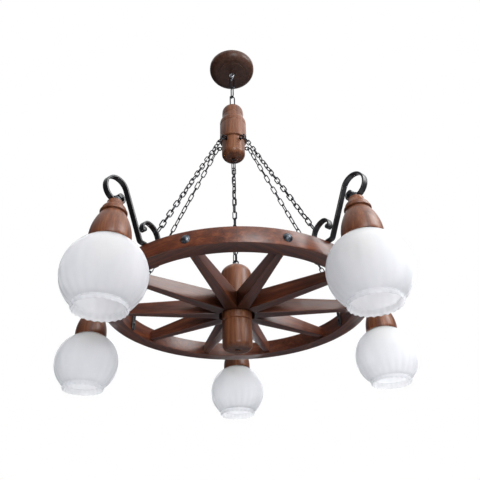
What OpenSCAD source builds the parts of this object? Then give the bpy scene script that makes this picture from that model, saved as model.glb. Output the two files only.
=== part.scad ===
// Wagon wheel chandelier: a turned and jointed wooden wheel on chains, with five opal globes
// on scrolled iron arms. Millimetres, +Z up. The origin is on the ceiling, midway between
// the two fixing holes of the mounting strap.

/* [Overall] */
// Which node to draw
// Ceiling to the underside of the wheel's rim
drop = 864; // [840:1:1000]
// Gap between a seated piece and its seat
seat = 0.3; // [0.2:0.05:0.4]

/* [Ceiling plate] */
// Radius of the canopy's lip
canopy_r = 70.2; // [66:0.2:80]
// Height of the canopy
canopy_h = 31; // [29:0.5:36]
// Radius of the canopy's flat underside
canopy_face_r = 44.3; // [40:0.1:50]
// Thickness of the canopy's turned wall
canopy_wall = 6; // [5:0.25:8]
// Distance between the two ceiling screws
strap_pitch = 84; // [70:1:88]
// Width of the steel strap
strap_w = 22; // [18:1:26]
// Thickness of the steel strap
strap_t = 3; // [2:0.25:3.5]
// Depth of the strap's bridge below the ceiling
strap_drop = 12.5; // [12:0.25:14]
// Radius of a ceiling screw's hole
fix_hole_r = 2.75; // [2.2:0.05:3]

/* [Hanging chain] */
// Wire of the ceiling eye bolt
hook_wire = 4.6; // [4:0.1:5.2]
// Centre-line radius of the ceiling eye
hook_r = 9.2; // [8.6:0.1:10]
// Length of a hanging link
top_link_l = 50.7; // [46:0.1:56]
// Width of a hanging link
top_link_w = 18; // [17:0.1:20]
// Wire of a hanging link
top_link_wire = 3.8; // [3.4:0.1:4.2]
// Wire of the screw eye in the top of the bobbin
eye_wire = 4; // [3.6:0.1:4.4]
// Centre-line radius of that eye
eye_r = 6.8; // [6.4:0.1:7.4]
// Turn of the hanging chain about its length
chain_turn = 25; // [0:1:45]

/* [Hanger bobbin] */
// Radius of the bobbin's upper barrel
bobbin_top_r = 31; // [28:0.5:33]
// Radius of the bobbin's collar
bobbin_r = 38; // [36:0.5:42]
// Radius of the bobbin's lower barrel
bobbin_low_r = 32.5; // [30:0.5:34]
// Length of the upper barrel
bobbin_top_h = 47; // [42:1:54]
// Length of the shoulder between the barrel and the collar
bobbin_neck_h = 15; // [12:1:18]
// Length of the collar
bobbin_collar_h = 71; // [64:1:78]
// Length of the lower barrel with its rounded end
bobbin_low_h = 64; // [60:1:70]

/* [Small chains] */
// Target pitch of a small link
link_pitch = 20.4; // [19:0.1:23]
// Width of a small link
link_w = 12.5; // [12:0.1:13.5]
// Wire of a small link
link_wire = 2.8; // [2.4:0.1:2.9]
// Wire of the small screw eyes
small_eye_wire = 3.6; // [3.2:0.1:4]
// Centre-line radius of the small screw eyes
small_eye_r = 6; // [5.8:0.1:6.6]

/* [Wheel] */
// Outer radius of the rim
rim_r = 300; // [285:1:320]
// Radial width of the rim
rim_w = 35; // [30:1:40]
// Height of the rim
rim_h = 35; // [32:1:40]
// Width of a spoke at the hub
spoke_w = 29.6; // [26:0.2:31]
// Width of a spoke at the rim
spoke_tip_w = 14.6; // [13:0.2:18]
// Height of a spoke at the hub
spoke_h = 41.2; // [36:0.2:43]
// Height of a spoke at the rim
spoke_tip_h = 21.6; // [19:0.2:24]
// Radius of the hub among the spokes
hub_r = 34; // [32:0.5:35]
// Radius of the hub above the spokes
hub_drum_r = 36; // [35.5:0.5:40]
// Straight height of the hub above the rim's underside
hub_top = 100; // [80:1:106]
// Height of the hub's dome
hub_dome_h = 26; // [22:0.5:32]
// Depth of the hub below the rim's underside
hub_low = 20; // [14:1:26]
// Radius of the hub's finial
finial_r = 33.3; // [30:0.1:34]
// Length of the finial
finial_h = 65; // [55:1:72]
// Radius of the finial's rounded edge
finial_round = 11; // [8:0.5:14]
// Radius of a bolt head on the rim
bolt_head_r = 9.25; // [8:0.25:10]

/* [Arms] */
// Width of the iron bar
bar_w = 12; // [11:0.5:14]
// Thickness of the iron bar
bar_t = 4; // [3.5:0.25:4.5]
// Height of the big loop's centre above the rim's underside
loop_z = 117; // [116.5:0.5:121]
// Height of the inner scroll's top above the rim's underside
scroll_top = 88; // [86:0.5:94]
// Centre-line radius of the inner scroll
scroll_r = 30; // [29:0.5:32]

/* [Lamps] */
// Radius of the globe
globe_r = 73.4; // [70:0.2:76]
// Thickness of the glass
glass = 3; // [2.6:0.1:3.4]
// Gap between the globe and the rim
globe_gap = 4.6; // [3:0.2:12]
// Height of the globe's flat lip above the rim's underside
globe_top = 3.5; // [0:0.5:4]
// Radius of the fitter hole in the globe
fitter_r = 21; // [20.8:0.1:21.4]
// Radius of the globe's neck
neck_r = 44.5; // [43:0.1:46]
// Height of the lampholder above its flange
holder_h = 46; // [44:0.5:47]
// Radius of the lampholder's threaded skirt
skirt_r = 19.75; // [19.5:0.05:19.9]
// Radius of the lamp thread in the lampholder
lamp_thread_r = 13.25; // [13.1:0.05:13.3]
// Radius of the cup's mouth
cup_r = 37.5; // [37:0.1:40]
// Height of the cup
cup_h = 88.2; // [86:0.1:88.2]

/* [Hidden] */
$fn = 48;
lamps = 5;
spokes = 10;
first_lamp = -126;
function lamp_angle(i) = first_lamp + 360 / lamps * (i - 1);
wheel_z = -drop;
// Fits
run = 0.3;
thread_gap = 0.15;

// Hanging chain, from the ceiling down
hook_c = -canopy_h - 2.3 - hook_r - hook_wire / 2 + 1;
hook_seat = hook_c - hook_r;
top_step = top_link_l - 2 * top_link_wire - seat;
link_a = hook_seat + hook_wire / 2 + top_link_wire / 2 + seat - (top_link_l - top_link_wire) / 2;
link_b = link_a - top_step;
link_c = link_b - top_step;
eye_top = link_c - (top_link_l - top_link_wire) / 2 + top_link_wire / 2 + seat + eye_wire / 2;
eye_c = eye_top - eye_r;
bobbin_z = eye_c - eye_r - eye_wire / 2 - 3;

// Hanger bobbin
step_z = bobbin_z - bobbin_top_h - bobbin_neck_h - bobbin_collar_h;
bobbin_tip = step_z - bobbin_low_h;
side_eye_z = step_z - 12;
side_eye_x = bobbin_low_r + 1.2 + small_eye_wire / 2 + small_eye_r;

// Wheel, measured from the rim's underside
rim_in = rim_r - rim_w;
spoke_z = rim_h / 2;
spoke_mid = 15.6;
drum_z = spoke_mid + spoke_h / 2 + 1.5;
dome_z = hub_top + hub_dome_h;
hub_eye_z = dome_z + 1.2 + small_eye_wire / 2 + small_eye_r;
rod_r = 3;

// Arms, in the plane of a lamp's radius
lamp_circle = rim_r + globe_gap + globe_r;
foot_z = rim_h + seat + bar_t / 2;
stem_x = rim_in - seat - 0.1 - bar_t / 2;
scroll_z = scroll_top - scroll_r;
scroll_x = stem_x + scroll_r;
curl_r = scroll_r / 2;
curl_z = scroll_z + scroll_r - curl_r;
loop_r = loop_z - 91;
loop_x = lamp_circle + 1.5;
pad_z = loop_z - loop_r - bar_t / 2;
lug_r = 5.3;
lug_wire = 3.2;
lug_sink = 1.5;
lug_at = 140;
lug = [scroll_x, scroll_z] + (scroll_r + bar_t / 2) * [cos(lug_at), sin(lug_at)];
knee_x = rim_r + 9;
curl_x = lamp_circle - 8;
screw_l = 18;
foot_screw_x = rim_in + 0.6 * rim_w;

// Lamps, measured from the rim's underside
cup_z = globe_top - 3;
cup_top = min(cup_z + cup_h, pad_z - seat);
lip_r = fitter_r + 4.8;
globe_c = globe_top - sqrt(globe_r * globe_r - lip_r * lip_r);
holder_flange = globe_top + seat;
holder_top = holder_flange + holder_h;
skirt_z = -22;

/* Points along an arc of radius r about [x, z] */
function arc(x, z, r, a0, a1, n = 12) =
    [for (i = [0:n]) let (a = a0 + (a1 - a0) * i / n) [x + r * cos(a), z + r * sin(a)]];

/* A quarter of an ellipse from [x + rx, z] to [x, z + rz] */
function quarter(x, z, rx, rz, n = 12) =
    [for (i = [0:n]) let (a = 90 * i / n) [x + rx * cos(a), z + rz * sin(a)]];

function reversed(p) = [for (i = [len(p) - 1:-1:0]) p[i]];

module wood() { color([0.33, 0.19, 0.14]) children(); }
module iron() { color([0.07, 0.07, 0.075]) children(); }
module zinc() { color([0.62, 0.64, 0.66]) children(); }
module opal() { color([0.90, 0.91, 0.92]) children(); }

module at_wheel() { translate([0, 0, wheel_z]) children(); }
module at_lamp(i) { at_wheel() rotate(lamp_angle(i)) translate([lamp_circle, 0, 0]) children(); }
module turned(points) { rotate_extrude($fn = 96) polygon(points); }

/* A tall wedge on the XY plane, w0 wide at x0 and w1 wide at x1 */
module taper(x0, x1, w0, w1) {
    linear_extrude(4 * rim_h, center = true)
        polygon([[x0, -w0 / 2], [x1, -w1 / 2], [x1, w1 / 2], [x0, w0 / 2]]);
}

/* Half of a ring of wire in the XZ plane, on the side of +Z */
module half_ring(r, wire) {
    rotate([90, 0, 0])
        rotate_extrude(angle = 180)
            translate([r, 0])
                circle(wire / 2, $fn = 24);
}

/* A closed ring of wire in the XZ plane */
module ring(r, wire) {
    rotate([90, 0, 0])
        rotate_extrude()
            translate([r, 0])
                circle(wire / 2, $fn = 24);
}

/* A straight-sided chain link in the XZ plane, long way up */
module link(l, w, wire) {
    r = (w - wire) / 2;
    h = l - w;
    translate([0, 0, h / 2]) half_ring(r, wire);
    translate([0, 0, -h / 2]) rotate([180, 0, 0]) half_ring(r, wire);
    for (s = [-1, 1])
        translate([s * r, 0, -h / 2])
            cylinder(h, r = wire / 2, $fn = 24);
}

/* n small links between the wires of two eyes a distance apart, hanging along -Z from the
   origin, with half a turn of twist over the whole chain */
module small_chain(distance, n, wire_top, wire_low, first) {
    pitch = (distance + (wire_top + wire_low) / 2 + seat) / n;
    l = round(50 * (pitch + 2 * link_wire + seat)) / 50;
    start = wire_top / 2 + link_wire / 2 + seat - (l - link_wire) / 2;
    for (i = [0:n - 1])
        translate([0, 0, start - i * pitch])
            rotate(first + (90 + 180 / (n - 1)) * i)
                link(l, link_w, link_wire);
}

/* An eye with a shank: the ring in the XZ plane round the origin, the shank along -Z */
module screw_eye(r, wire, shank_r, shank, flange_r, flange_at, flange_h) {
    ring(r, wire);
    translate([0, 0, -r - wire / 4 - shank]) cylinder(shank, r = shank_r);
    translate([0, 0, -flange_at]) cylinder(flange_h, r = flange_r);
}

/* A round end of bar across the arm's plane */
module bar_roll(x, z, r) {
    w = bar_w - 0.6;
    translate([x, w / 2, z]) rotate([90, 0, 0]) cylinder(w, r = r);
}

/* Flat bar of an outline drawn in the arm's plane */
module bar_shape(points) {
    translate([0, bar_w / 2, 0]) rotate([90, 0, 0]) linear_extrude(bar_w) polygon(points);
}

module hex_nut(af, h, hole_r) {
    difference() {
        cylinder(h, r = af / 2 / cos(30), $fn = 6);
        translate([0, 0, -1]) cylinder(h + 2, r = hole_r);
    }
}

/* A steel strap with two flat ears on the ceiling and a bridge that carries the eye bolt */
module mounting_bracket() {
    ear = 20;
    l = strap_pitch + ear;
    bridge = strap_pitch - 24;
    zinc()
        difference() {
            union() {
                for (s = [-1, 1])
                    translate([s * (l / 2 - ear / 2 - 1), 0, -strap_t / 2])
                        cube([ear + 2, strap_w, strap_t], center = true);
                for (s = [-1, 1])
                    translate([s * (bridge / 2 + strap_t / 2), 0, -strap_drop / 2])
                        cube([strap_t, strap_w, strap_drop], center = true);
                translate([0, 0, strap_t / 2 - strap_drop])
                    cube([bridge + 1, strap_w, strap_t], center = true);
            }
            for (s = [-1, 1])
                translate([s * strap_pitch / 2, 0, -strap_t - 1])
                    cylinder(strap_t + 2, r = fix_hole_r);
            translate([0, 0, -strap_drop - 1]) cylinder(strap_t + 2, r = rod_r + run);
            translate([-20, 0, -strap_drop - 1]) cylinder(strap_t + 2, r = 1.5 + thread_gap);
        }
}

/* A turned wooden canopy, hollow from above */
module ceiling_canopy() {
    lip = 9;
    step = 1.6;
    ledge = 0.8;
    outer = reversed([for (p = quarter(canopy_face_r + ledge, 0, canopy_r - canopy_face_r - ledge,
        canopy_h - lip - step)) [p[0], -lip - p[1]]]);
    inner = [for (p = quarter(canopy_face_r - canopy_wall - 4, 0, canopy_r - canopy_face_r + 3,
        canopy_h - lip - canopy_wall)) [p[0], -lip - p[1]]];
    wood()
        turned(concat(
            [[rod_r + run, -canopy_h], [canopy_face_r - 0.5, -canopy_h],
                [canopy_face_r, 0.5 - canopy_h], [canopy_face_r, step - canopy_h]],
            outer, [[canopy_r, -seat]],
            [[inner[0][0], -seat]], inner, [[rod_r + run, canopy_wall - canopy_h]]
        ));
}

/* A bright eye bolt: ring, collar and threaded shank up through canopy and strap */
module ceiling_hook() {
    zinc() {
        translate([0, 0, hook_c]) rotate(90 + chain_turn) ring(hook_r, hook_wire);
        translate([0, 0, -canopy_h - seat - 2.6]) cylinder(2.6, r = 8);
        translate([0, 0, -canopy_h - 2]) cylinder(canopy_h, r = rod_r);
    }
}

/* The nut over the strap and the nut that pulls the canopy's shank tight under it */
module hook_nuts() {
    zinc() {
        translate([0, 0, strap_t - strap_drop + seat]) hex_nut(10, 5, rod_r + thread_gap);
        translate([0, 0, -strap_drop - seat - 5]) hex_nut(10, 5, rod_r + thread_gap);
    }
}

/* A two-pole terminal block screwed up against the strap */
module terminal_block() {
    h = 9.5;
    color([0.92, 0.90, 0.84])
        translate([-20, 0, -strap_drop - seat - h])
            difference() {
                translate([-9, -8, 0]) cube([18, 16, h]);
                translate([0, 0, -1]) cylinder(h + 2, r = 1.5 + run);
                for (s = [-1, 1])
                    translate([s * 5, -9, h / 2]) rotate([-90, 0, 0]) cylinder(18, r = 2);
                for (s = [-1, 1])
                    translate([s * 5, 0, -1]) cylinder(h / 2, r = 1.8);
            }
}

/* One hanging link at its height, turned about Z from the chain's own turn */
module hanging_link(z, turn) {
    iron() translate([0, 0, z]) rotate(turn + chain_turn) link(top_link_l, top_link_w, top_link_wire);
}

/* The screw eye in the top of the bobbin, on which the bobbin can turn */
module bobbin_top_eye() {
    iron()
        translate([0, 0, eye_c]) {
            rotate(90 + chain_turn) ring(eye_r, eye_wire);
            translate([0, 0, -eye_r - eye_wire / 2 - 2.6]) cylinder(3, r = 5.5);
            translate([0, 0, -eye_r - eye_wire / 2 - 33]) cylinder(32, r = 2.5);
        }
}

/* The turned wooden bobbin that spreads the five chains */
module hanger_bobbin() {
    shoulder = 15;
    collar_z = bobbin_z - bobbin_top_h - bobbin_neck_h;
    barrel_z = bobbin_z - bobbin_top_h;
    round_r = 15;
    low = bobbin_low_r;
    profile = concat(
        [[0, bobbin_z]],
        reversed(quarter(bobbin_top_r - 9, bobbin_z - shoulder, 9, shoulder)),
        [[bobbin_top_r, barrel_z + 16], [bobbin_top_r - 0.9, barrel_z + 15],
            [bobbin_top_r, barrel_z + 14], [bobbin_top_r, barrel_z]],
        [for (i = [1:10]) let (t = i / 10) [
            bobbin_top_r + (bobbin_r - bobbin_top_r) * (1 - pow(1 - t, 2)),
            barrel_z - bobbin_neck_h * t * (0.55 + 0.45 * t)
        ]],
        [[bobbin_r, collar_z - 9], [bobbin_r - 0.9, collar_z - 10], [bobbin_r, collar_z - 11]],
        [[bobbin_r, step_z + 2.5], [bobbin_r - 2.5, step_z], [low, step_z]],
        arc(low - round_r, bobbin_tip + 3 + round_r, round_r, 0, -82, 10),
        [for (i = [1:8]) let (t = i / 8) [(low - round_r + 1.7) * (1 - t), bobbin_tip + 3 * pow(1 - t, 2)]]
    );
    wood()
        difference() {
            turned(profile);
            translate([0, 0, bobbin_z - 34]) cylinder(35, r = 2.5 + thread_gap);
            translate([0, 0, bobbin_tip - 1]) cylinder(27, r = 1.8 + thread_gap);
            for (i = [1:lamps])
                rotate(lamp_angle(i))
                    translate([low - 19, 0, side_eye_z])
                        rotate([0, 90, 0])
                            cylinder(22, r = 1.8 + thread_gap);
        }
}

/* Five screw eyes round the bobbin and one under its tip */
module chain_eyes() {
    iron() {
        for (i = [1:lamps])
            rotate(lamp_angle(i))
                translate([side_eye_x, 0, side_eye_z])
                    rotate([0, 90, 0])
                        rotate(90)
                            screw_eye(small_eye_r, small_eye_wire, 1.8, 17, 4,
                                small_eye_r + small_eye_wire / 2 + 0.9, 1.5);
        translate([0, 0, bobbin_tip - 1.2 - small_eye_wire / 2 - small_eye_r])
            mirror([0, 0, 1])
                screw_eye(small_eye_r, small_eye_wire, 1.8, 22, 4,
                    small_eye_r + small_eye_wire / 2 + 0.9, 1.5);
    }
}

/* One of the five chains from the bobbin to the lug of an arm */
module suspension_chain(i) {
    a = [side_eye_x + small_eye_r, side_eye_z];
    d = lug + [0, wheel_z] - a;
    span = norm(d) - lug_r;
    n = 2 * round(span / link_pitch / 2);
    iron()
        rotate(lamp_angle(i))
            translate([a[0], 0, a[1]])
                rotate([0, -atan2(d[0], -d[1]), 0])
                    small_chain(span, n, small_eye_wire, lug_wire, 0);
}

/* The middle chain from the bobbin's tip to the hub */
module centre_chain() {
    top = bobbin_tip - 1.2 - small_eye_wire / 2 - 2 * small_eye_r;
    low = wheel_z + hub_eye_z + small_eye_r;
    n = 2 * floor((top - low) / link_pitch / 2) + 1;
    iron()
        translate([0, 0, top])
            small_chain(top - low, n, small_eye_wire, small_eye_wire, 90);
}

/* The turned hub with its domed top, bored for ten spoke dowels and the long eye bolt */
module hub_barrel() {
    last = acos((rod_r + run) / hub_drum_r);
    profile = concat(
        [[rod_r + run, -hub_low], [hub_r - 1.5, -hub_low], [hub_r, 1.5 - hub_low], [hub_r, drum_z],
            [hub_drum_r - 0.8, drum_z], [hub_drum_r, drum_z + 0.8]],
        [for (k = [0:16]) let (a = last * k / 16)
            [hub_drum_r * cos(a), hub_top + hub_dome_h * sin(a)]]
    );
    wood()
        at_wheel()
            difference() {
                turned(profile);
                for (i = [0:spokes - 1])
                    rotate(360 / spokes * i)
                        translate([19.8, 0, spoke_z])
                            rotate([0, 90, 0])
                                cylinder(hub_r, r = 5 + thread_gap);
            }
}

/* The turned finial under the hub, with a recess for the nut */
module hub_finial() {
    z0 = -hub_low - seat;
    z1 = -hub_low - finial_h;
    profile = concat(
        [[rod_r + run, z0], [finial_r - 1.2, z0], [finial_r, z0 - 1.2]],
        arc(finial_r - finial_round, z1 + finial_round, finial_round, 0, -90, 10),
        [[6.2, z1], [6.2, z1 + 8], [rod_r + run, z1 + 8]]
    );
    wood() at_wheel() turned(profile);
}

/* The long eye bolt through hub and finial, and the middle chain's lower eye */
module hub_eye_bolt() {
    shank = hub_eye_z - small_eye_r + hub_low + finial_h - 1.5;
    iron()
        at_wheel()
            translate([0, 0, hub_eye_z]) {
                ring(small_eye_r, small_eye_wire);
                translate([0, 0, -small_eye_r - small_eye_wire / 2 - 0.9]) cylinder(1.5, r = 5.5);
                translate([0, 0, -small_eye_r - shank]) cylinder(shank, r = rod_r);
            }
}

module hub_nut() {
    zinc()
        at_wheel()
            translate([0, 0, -hub_low - finial_h + 8 - seat - 5])
                hex_nut(10, 5, rod_r + thread_gap);
}

/* The glued-up and turned rim */
module rim() {
    c = 1.5;
    wood()
        at_wheel()
            difference() {
                turned([
                    [rim_in + c, 0], [rim_r - c, 0], [rim_r, c], [rim_r, rim_h - c],
                    [rim_r - c, rim_h], [rim_in + c, rim_h], [rim_in, rim_h - c], [rim_in, c]
                ]);
                for (i = [0:spokes - 1])
                    rotate(360 / spokes * i)
                        translate([rim_in - 2, 0, spoke_z])
                            rotate([0, 90, 0])
                                cylinder(rim_w + 4, r = rod_r + run);
                for (i = [1:lamps])
                    rotate(lamp_angle(i)) {
                        translate([rim_in - 2, 0, spoke_z])
                            rotate([0, 90, 0])
                                cylinder(screw_l - 1, r = 2 + thread_gap);
                        translate([foot_screw_x, 0, rim_h + 2 - screw_l])
                            cylinder(screw_l, r = 2 + thread_gap);
                    }
            }
}

/* One spoke, tapered to the rim, mitred against its neighbours and dowelled into the hub */
module spoke(i) {
    half = 180 / spokes;
    near = hub_r - 4;
    far = rim_in - seat - spoke_tip_w * spoke_tip_w / 8 / rim_in;
    wood()
        at_wheel()
            rotate(360 / spokes * (i - 1))
                difference() {
                    union() {
                        intersection() {
                            taper(near, far, spoke_w, spoke_tip_w);
                            translate([0, 0, spoke_mid])
                                rotate([90, 0, 0])
                                    taper(near, far, spoke_h, spoke_tip_h);
                            translate([seat / 2 / sin(half), 0, 0])
                                taper(1, rim_r, 2 * tan(half), 2 * rim_r * tan(half));
                        }
                        translate([20.3, 0, spoke_z]) rotate([0, 90, 0]) cylinder(hub_r, r = 5);
                    }
                    difference() {
                        translate([0, 0, -rim_h]) cylinder(3 * rim_h, r = hub_r + seat, $fn = 96);
                        translate([0, 0, spoke_z]) rotate([0, 90, 0]) cylinder(rim_r, r = 5);
                    }
                    translate([rim_in - 28, 0, spoke_z])
                        rotate([0, 90, 0])
                            cylinder(40, r = rod_r + thread_gap);
                }
}

/* Round-headed bolts from the rim's outer face into the spokes */
module spoke_bolts() {
    head = 5;
    ball = (bolt_head_r * bolt_head_r + head * head) / 2 / head;
    zinc()
        at_wheel()
            for (i = [0:spokes - 1])
                rotate(360 / spokes * i)
                    translate([rim_r + seat, 0, spoke_z])
                        rotate([0, 90, 0]) {
                            intersection() {
                                translate([0, 0, head - ball]) sphere(ball);
                                cylinder(head + 1, r = bolt_head_r);
                            }
                            translate([0, 0, -rim_w - 24]) cylinder(rim_w + 25, r = rod_r);
                        }
}

/* One side of the strap and inner scroll, e out from its centre line */
function scroll_side(e) = concat(
    [[stem_x - e, 3]],
    arc(scroll_x, scroll_z, scroll_r + e, 180, 90, 20),
    arc(scroll_x, curl_z, curl_r + e, 90, -20, 20)
);

/* One side of the foot, riser, loop and curl, e to the left of its centre line */
function loop_side(e, slope) = concat(
    [[stem_x, foot_z + e]],
    e < 0 ? arc(knee_x, foot_z, -e, -90, slope - 90, 6) : [[knee_x - e * tan(slope / 2), foot_z + e]],
    arc(loop_x, loop_z, loop_r + e, slope + 90, -90, 40),
    arc(curl_x, pad_z + bar_t / 2 + 9, 9 + e, -90, -270, 24)
);

/* One wrought arm: strap and inner scroll, foot on the rim, loop over the lamp */
module arm(i) {
    reach = [loop_x - knee_x, loop_z - foot_z];
    slope = atan2(reach[1], reach[0]) + asin(loop_r / norm(reach));
    e = bar_t / 2;
    iron()
        at_wheel()
            rotate(lamp_angle(i))
                difference() {
                    union() {
                        bar_shape(concat(scroll_side(e), reversed(scroll_side(-e))));
                        bar_roll(scroll_x + (curl_r - 3) * cos(25), curl_z - (curl_r - 3) * sin(25), 5);
                        bar_shape(concat(loop_side(e, slope), reversed(loop_side(-e, slope))));
                        bar_roll(curl_x + 0.5, pad_z + bar_t / 2 + 15, 5);
                        translate([lamp_circle, 0, pad_z - 0.01]) cylinder(5, r = 11);
                        translate([lug[0], 0, lug[1]])
                            rotate([0, 90 - lug_at, 0])
                                translate([0, 0, -lug_sink])
                                    half_ring(lug_r + lug_sink, lug_wire);
                    }
                    translate([lamp_circle, 0, pad_z - 1]) cylinder(7, r = 5 + run);
                    translate([foot_screw_x, 0, foot_z - bar_t]) cylinder(2 * bar_t, r = 2 + run);
                    translate([stem_x - bar_t, 0, spoke_z])
                        rotate([0, 90, 0])
                            cylinder(2 * bar_t, r = 2 + run);
                }
}

/* Two round-headed wood screws for each arm */
module arm_screws() {
    iron()
        at_wheel()
            for (i = [1:lamps])
                rotate(lamp_angle(i)) {
                    translate([foot_screw_x, 0, foot_z + bar_t / 2 + seat]) wood_screw();
                    translate([stem_x - bar_t / 2 - seat, 0, spoke_z]) rotate([0, -90, 0]) wood_screw();
                }
}

/* A round-headed screw, its head on the XY plane and its shank down */
module wood_screw() {
    intersection() {
        translate([0, 0, -3]) sphere(5.5);
        cylinder(4, r = 4.4);
    }
    translate([0, 0, -screw_l]) cylinder(screw_l + 1, r = 2);
}

/* One turned wooden cup over a lampholder */
module cup(i) {
    groove_z = cup_z + 0.67 * cup_h;
    collar_z = groove_z + 1.6;
    cap_z = collar_z + 4.6;
    bell_z = cup_z + 6;
    groove = 21;
    collar = 25;
    waist = 22.8;
    hollow_z = holder_top + seat;
    bell = [for (k = [0:14]) let (t = k / 14) [
        cup_r - (cup_r - waist) * pow(t, 2.05), bell_z + (groove_z - 1.5 - bell_z) * t]];
    cap = [for (k = [0:10]) let (t = k / 10) [
        22.4 - 7.8 * t + 1.5 * sin(360 * t), cap_z + (cup_top - 2 - cap_z) * t]];
    inside = [for (k = [0:8]) let (t = k / 8) [
        24.3 + (cup_r - 4 - 24.3) * pow(1 - t, 1.3), cup_z + (hollow_z - 14 - cup_z) * t]];
    wood()
        at_lamp(i)
            turned(concat(
                [[cup_r - 0.8, cup_z], [cup_r, cup_z + 3]],
                bell, [[groove, groove_z - 0.8], [groove, groove_z + 0.6], [collar - 0.8, collar_z],
                    [collar, collar_z + 1.2], [collar, collar_z + 2.4], [collar - 0.8, collar_z + 3.6]],
                cap, [[12.8, cup_top], [5 + run, cup_top],
                    [5 + run, hollow_z], [20.6, hollow_z], [20.6, hollow_z - 14]],
                reversed(inside)
            ));
}

/* One lampholder: body, flange, threaded skirt, and the thread for the lamp */
module lampholder(i) {
    body_r = 19.9;
    color([0.86, 0.85, 0.80])
        at_lamp(i)
            difference() {
                turned([
                    [0, skirt_z], [skirt_r, skirt_z], [skirt_r, holder_flange], [23.4, holder_flange],
                    [23.4, holder_flange + 2.5], [body_r, holder_flange + 3], [body_r, holder_top - 10],
                    [15, holder_top - 3], [8, holder_top], [0, holder_top]
                ]);
                translate([0, 0, skirt_z - 1]) cylinder(31, r = lamp_thread_r);
                translate([0, 0, holder_top - 11]) cylinder(12, r = 5 + thread_gap);
                translate([0, 0, holder_top - 20]) cylinder(12, r = 2.5);
            }
}

/* Hollow threaded bolts that hold arm, cup and lampholder together */
module lamp_bolts() {
    head_z = pad_z + 5 + seat;
    zinc()
        for (i = [1:lamps])
            at_lamp(i)
                difference() {
                    union() {
                        translate([0, 0, head_z]) cylinder(4, r = 14 / 2 / cos(30), $fn = 6);
                        translate([0, 0, holder_top - 9]) cylinder(head_z - holder_top + 10, r = 5);
                    }
                    translate([0, 0, holder_top - 10]) cylinder(80, r = 3.4);
                }
}

/* The ring that screws up the skirt under the glass */
module shade_ring(i) {
    top = globe_top - glass - seat;
    color([0.86, 0.85, 0.80])
        at_lamp(i)
            turned([
                [skirt_r + run, top - 8], [24.5, top - 8], [24.5, top - 1], [23.8, top], [skirt_r + run, top]
            ]);
}

/* One opal globe: flat lip with the fitter hole, ball, neck and flared mouth */
module globe(i) {
    bend = 12;
    bend_end = 80;
    bx = neck_r + 0.335;
    turn = acos(bx / (globe_r - bend));
    bz = globe_c - (globe_r - bend) * sin(turn);
    lip_a = acos(lip_r / globe_r);
    inner_a = acos((lip_r - 0.6) / (globe_r - glass));
    outer = concat(
        arc(0, globe_c, globe_r, lip_a, -turn, 36),
        arc(bx, bz, bend, -turn, -bend_end, 5),
        [[neck_r, bz - bend - 0.8], [neck_r, bz - bend - 2.2]],
        arc(neck_r - 0.9, bz - bend - 6.2, 3.6, 45, -30, 6),
        [[neck_r + 1.6, bz - bend - 9.6]]
    );
    inner = concat(
        arc(0, globe_c, globe_r - glass, inner_a, -turn, 36),
        arc(bx, bz, bend - glass, -turn, 10 - bend_end, 4),
        [[neck_r - glass, bz - bend + 1.2], [neck_r - glass, bz - bend - 3]],
        [[neck_r - 0.6, bz - bend - 5.4], [neck_r - 0.6, bz - bend - 7.4], [neck_r - 0.6, bz - bend - 10.2]]
    );
    opal()
        at_lamp(i)
            turned(concat([[fitter_r, globe_top]], outer, reversed(inner), [[fitter_r, globe_top - glass]]));
}

mounting_bracket();
ceiling_canopy();
ceiling_hook();
hook_nuts();
terminal_block();
hanging_link(link_a, 0);  // top_link_upper
hanging_link(link_b, 90);  // top_link_middle
hanging_link(link_c, 0);  // top_link_lower
bobbin_top_eye();
hanger_bobbin();
chain_eyes();
centre_chain();
hub_barrel();
hub_finial();
hub_eye_bolt();
hub_nut();
rim();
spoke_bolts();
arm_screws();
lamp_bolts();
for (i = [1:lamps]) suspension_chain(i);
for (i = [1:spokes]) spoke(i);
for (i = [1:lamps]) arm(i);
for (i = [1:lamps]) cup(i);
for (i = [1:lamps]) lampholder(i);
for (i = [1:lamps]) shade_ring(i);
for (i = [1:lamps]) globe(i);
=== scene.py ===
"""Wagon wheel chandelier: the dressed model, its studio and its camera.

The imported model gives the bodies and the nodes. What shows most is built here in finer meshes
that stand in for nodes, and every node that stays shown gets a finish of its own. Sizes are
millimetres until a mesh is put in its place, and metres after that.
"""

import logging
import math
from dataclasses import dataclass
from enum import Enum
from typing import Iterable, Optional, Sequence, Union

import bmesh
import bpy
from mathutils import Matrix, Vector


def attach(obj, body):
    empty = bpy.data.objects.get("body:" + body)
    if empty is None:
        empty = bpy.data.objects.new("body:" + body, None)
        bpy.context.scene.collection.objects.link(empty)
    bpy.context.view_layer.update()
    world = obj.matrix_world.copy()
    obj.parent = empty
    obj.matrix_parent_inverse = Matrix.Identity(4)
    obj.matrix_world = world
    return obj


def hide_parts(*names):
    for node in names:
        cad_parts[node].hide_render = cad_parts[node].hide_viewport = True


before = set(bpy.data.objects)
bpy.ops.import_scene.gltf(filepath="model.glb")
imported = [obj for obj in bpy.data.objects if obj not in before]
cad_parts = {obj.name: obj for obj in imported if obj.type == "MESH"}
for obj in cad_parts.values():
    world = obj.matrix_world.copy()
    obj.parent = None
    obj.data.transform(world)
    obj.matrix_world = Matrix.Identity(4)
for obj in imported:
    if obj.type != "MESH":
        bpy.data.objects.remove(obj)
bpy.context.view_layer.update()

logging.basicConfig(level=logging.INFO, format="%(name)s: %(message)s")
log = logging.getLogger("chandelier")

MM = 0.001
PER_METRE = 1000.0
PHOTO_WIDTH = 480
TINY = 1e-6

# Places of a Mix node's inputs in its number mode, and of its inputs and output for colours.
NUMBER_A, NUMBER_B = 2, 3
COLOUR_A, COLOUR_B, COLOUR_OUT = 6, 7, 2

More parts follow.
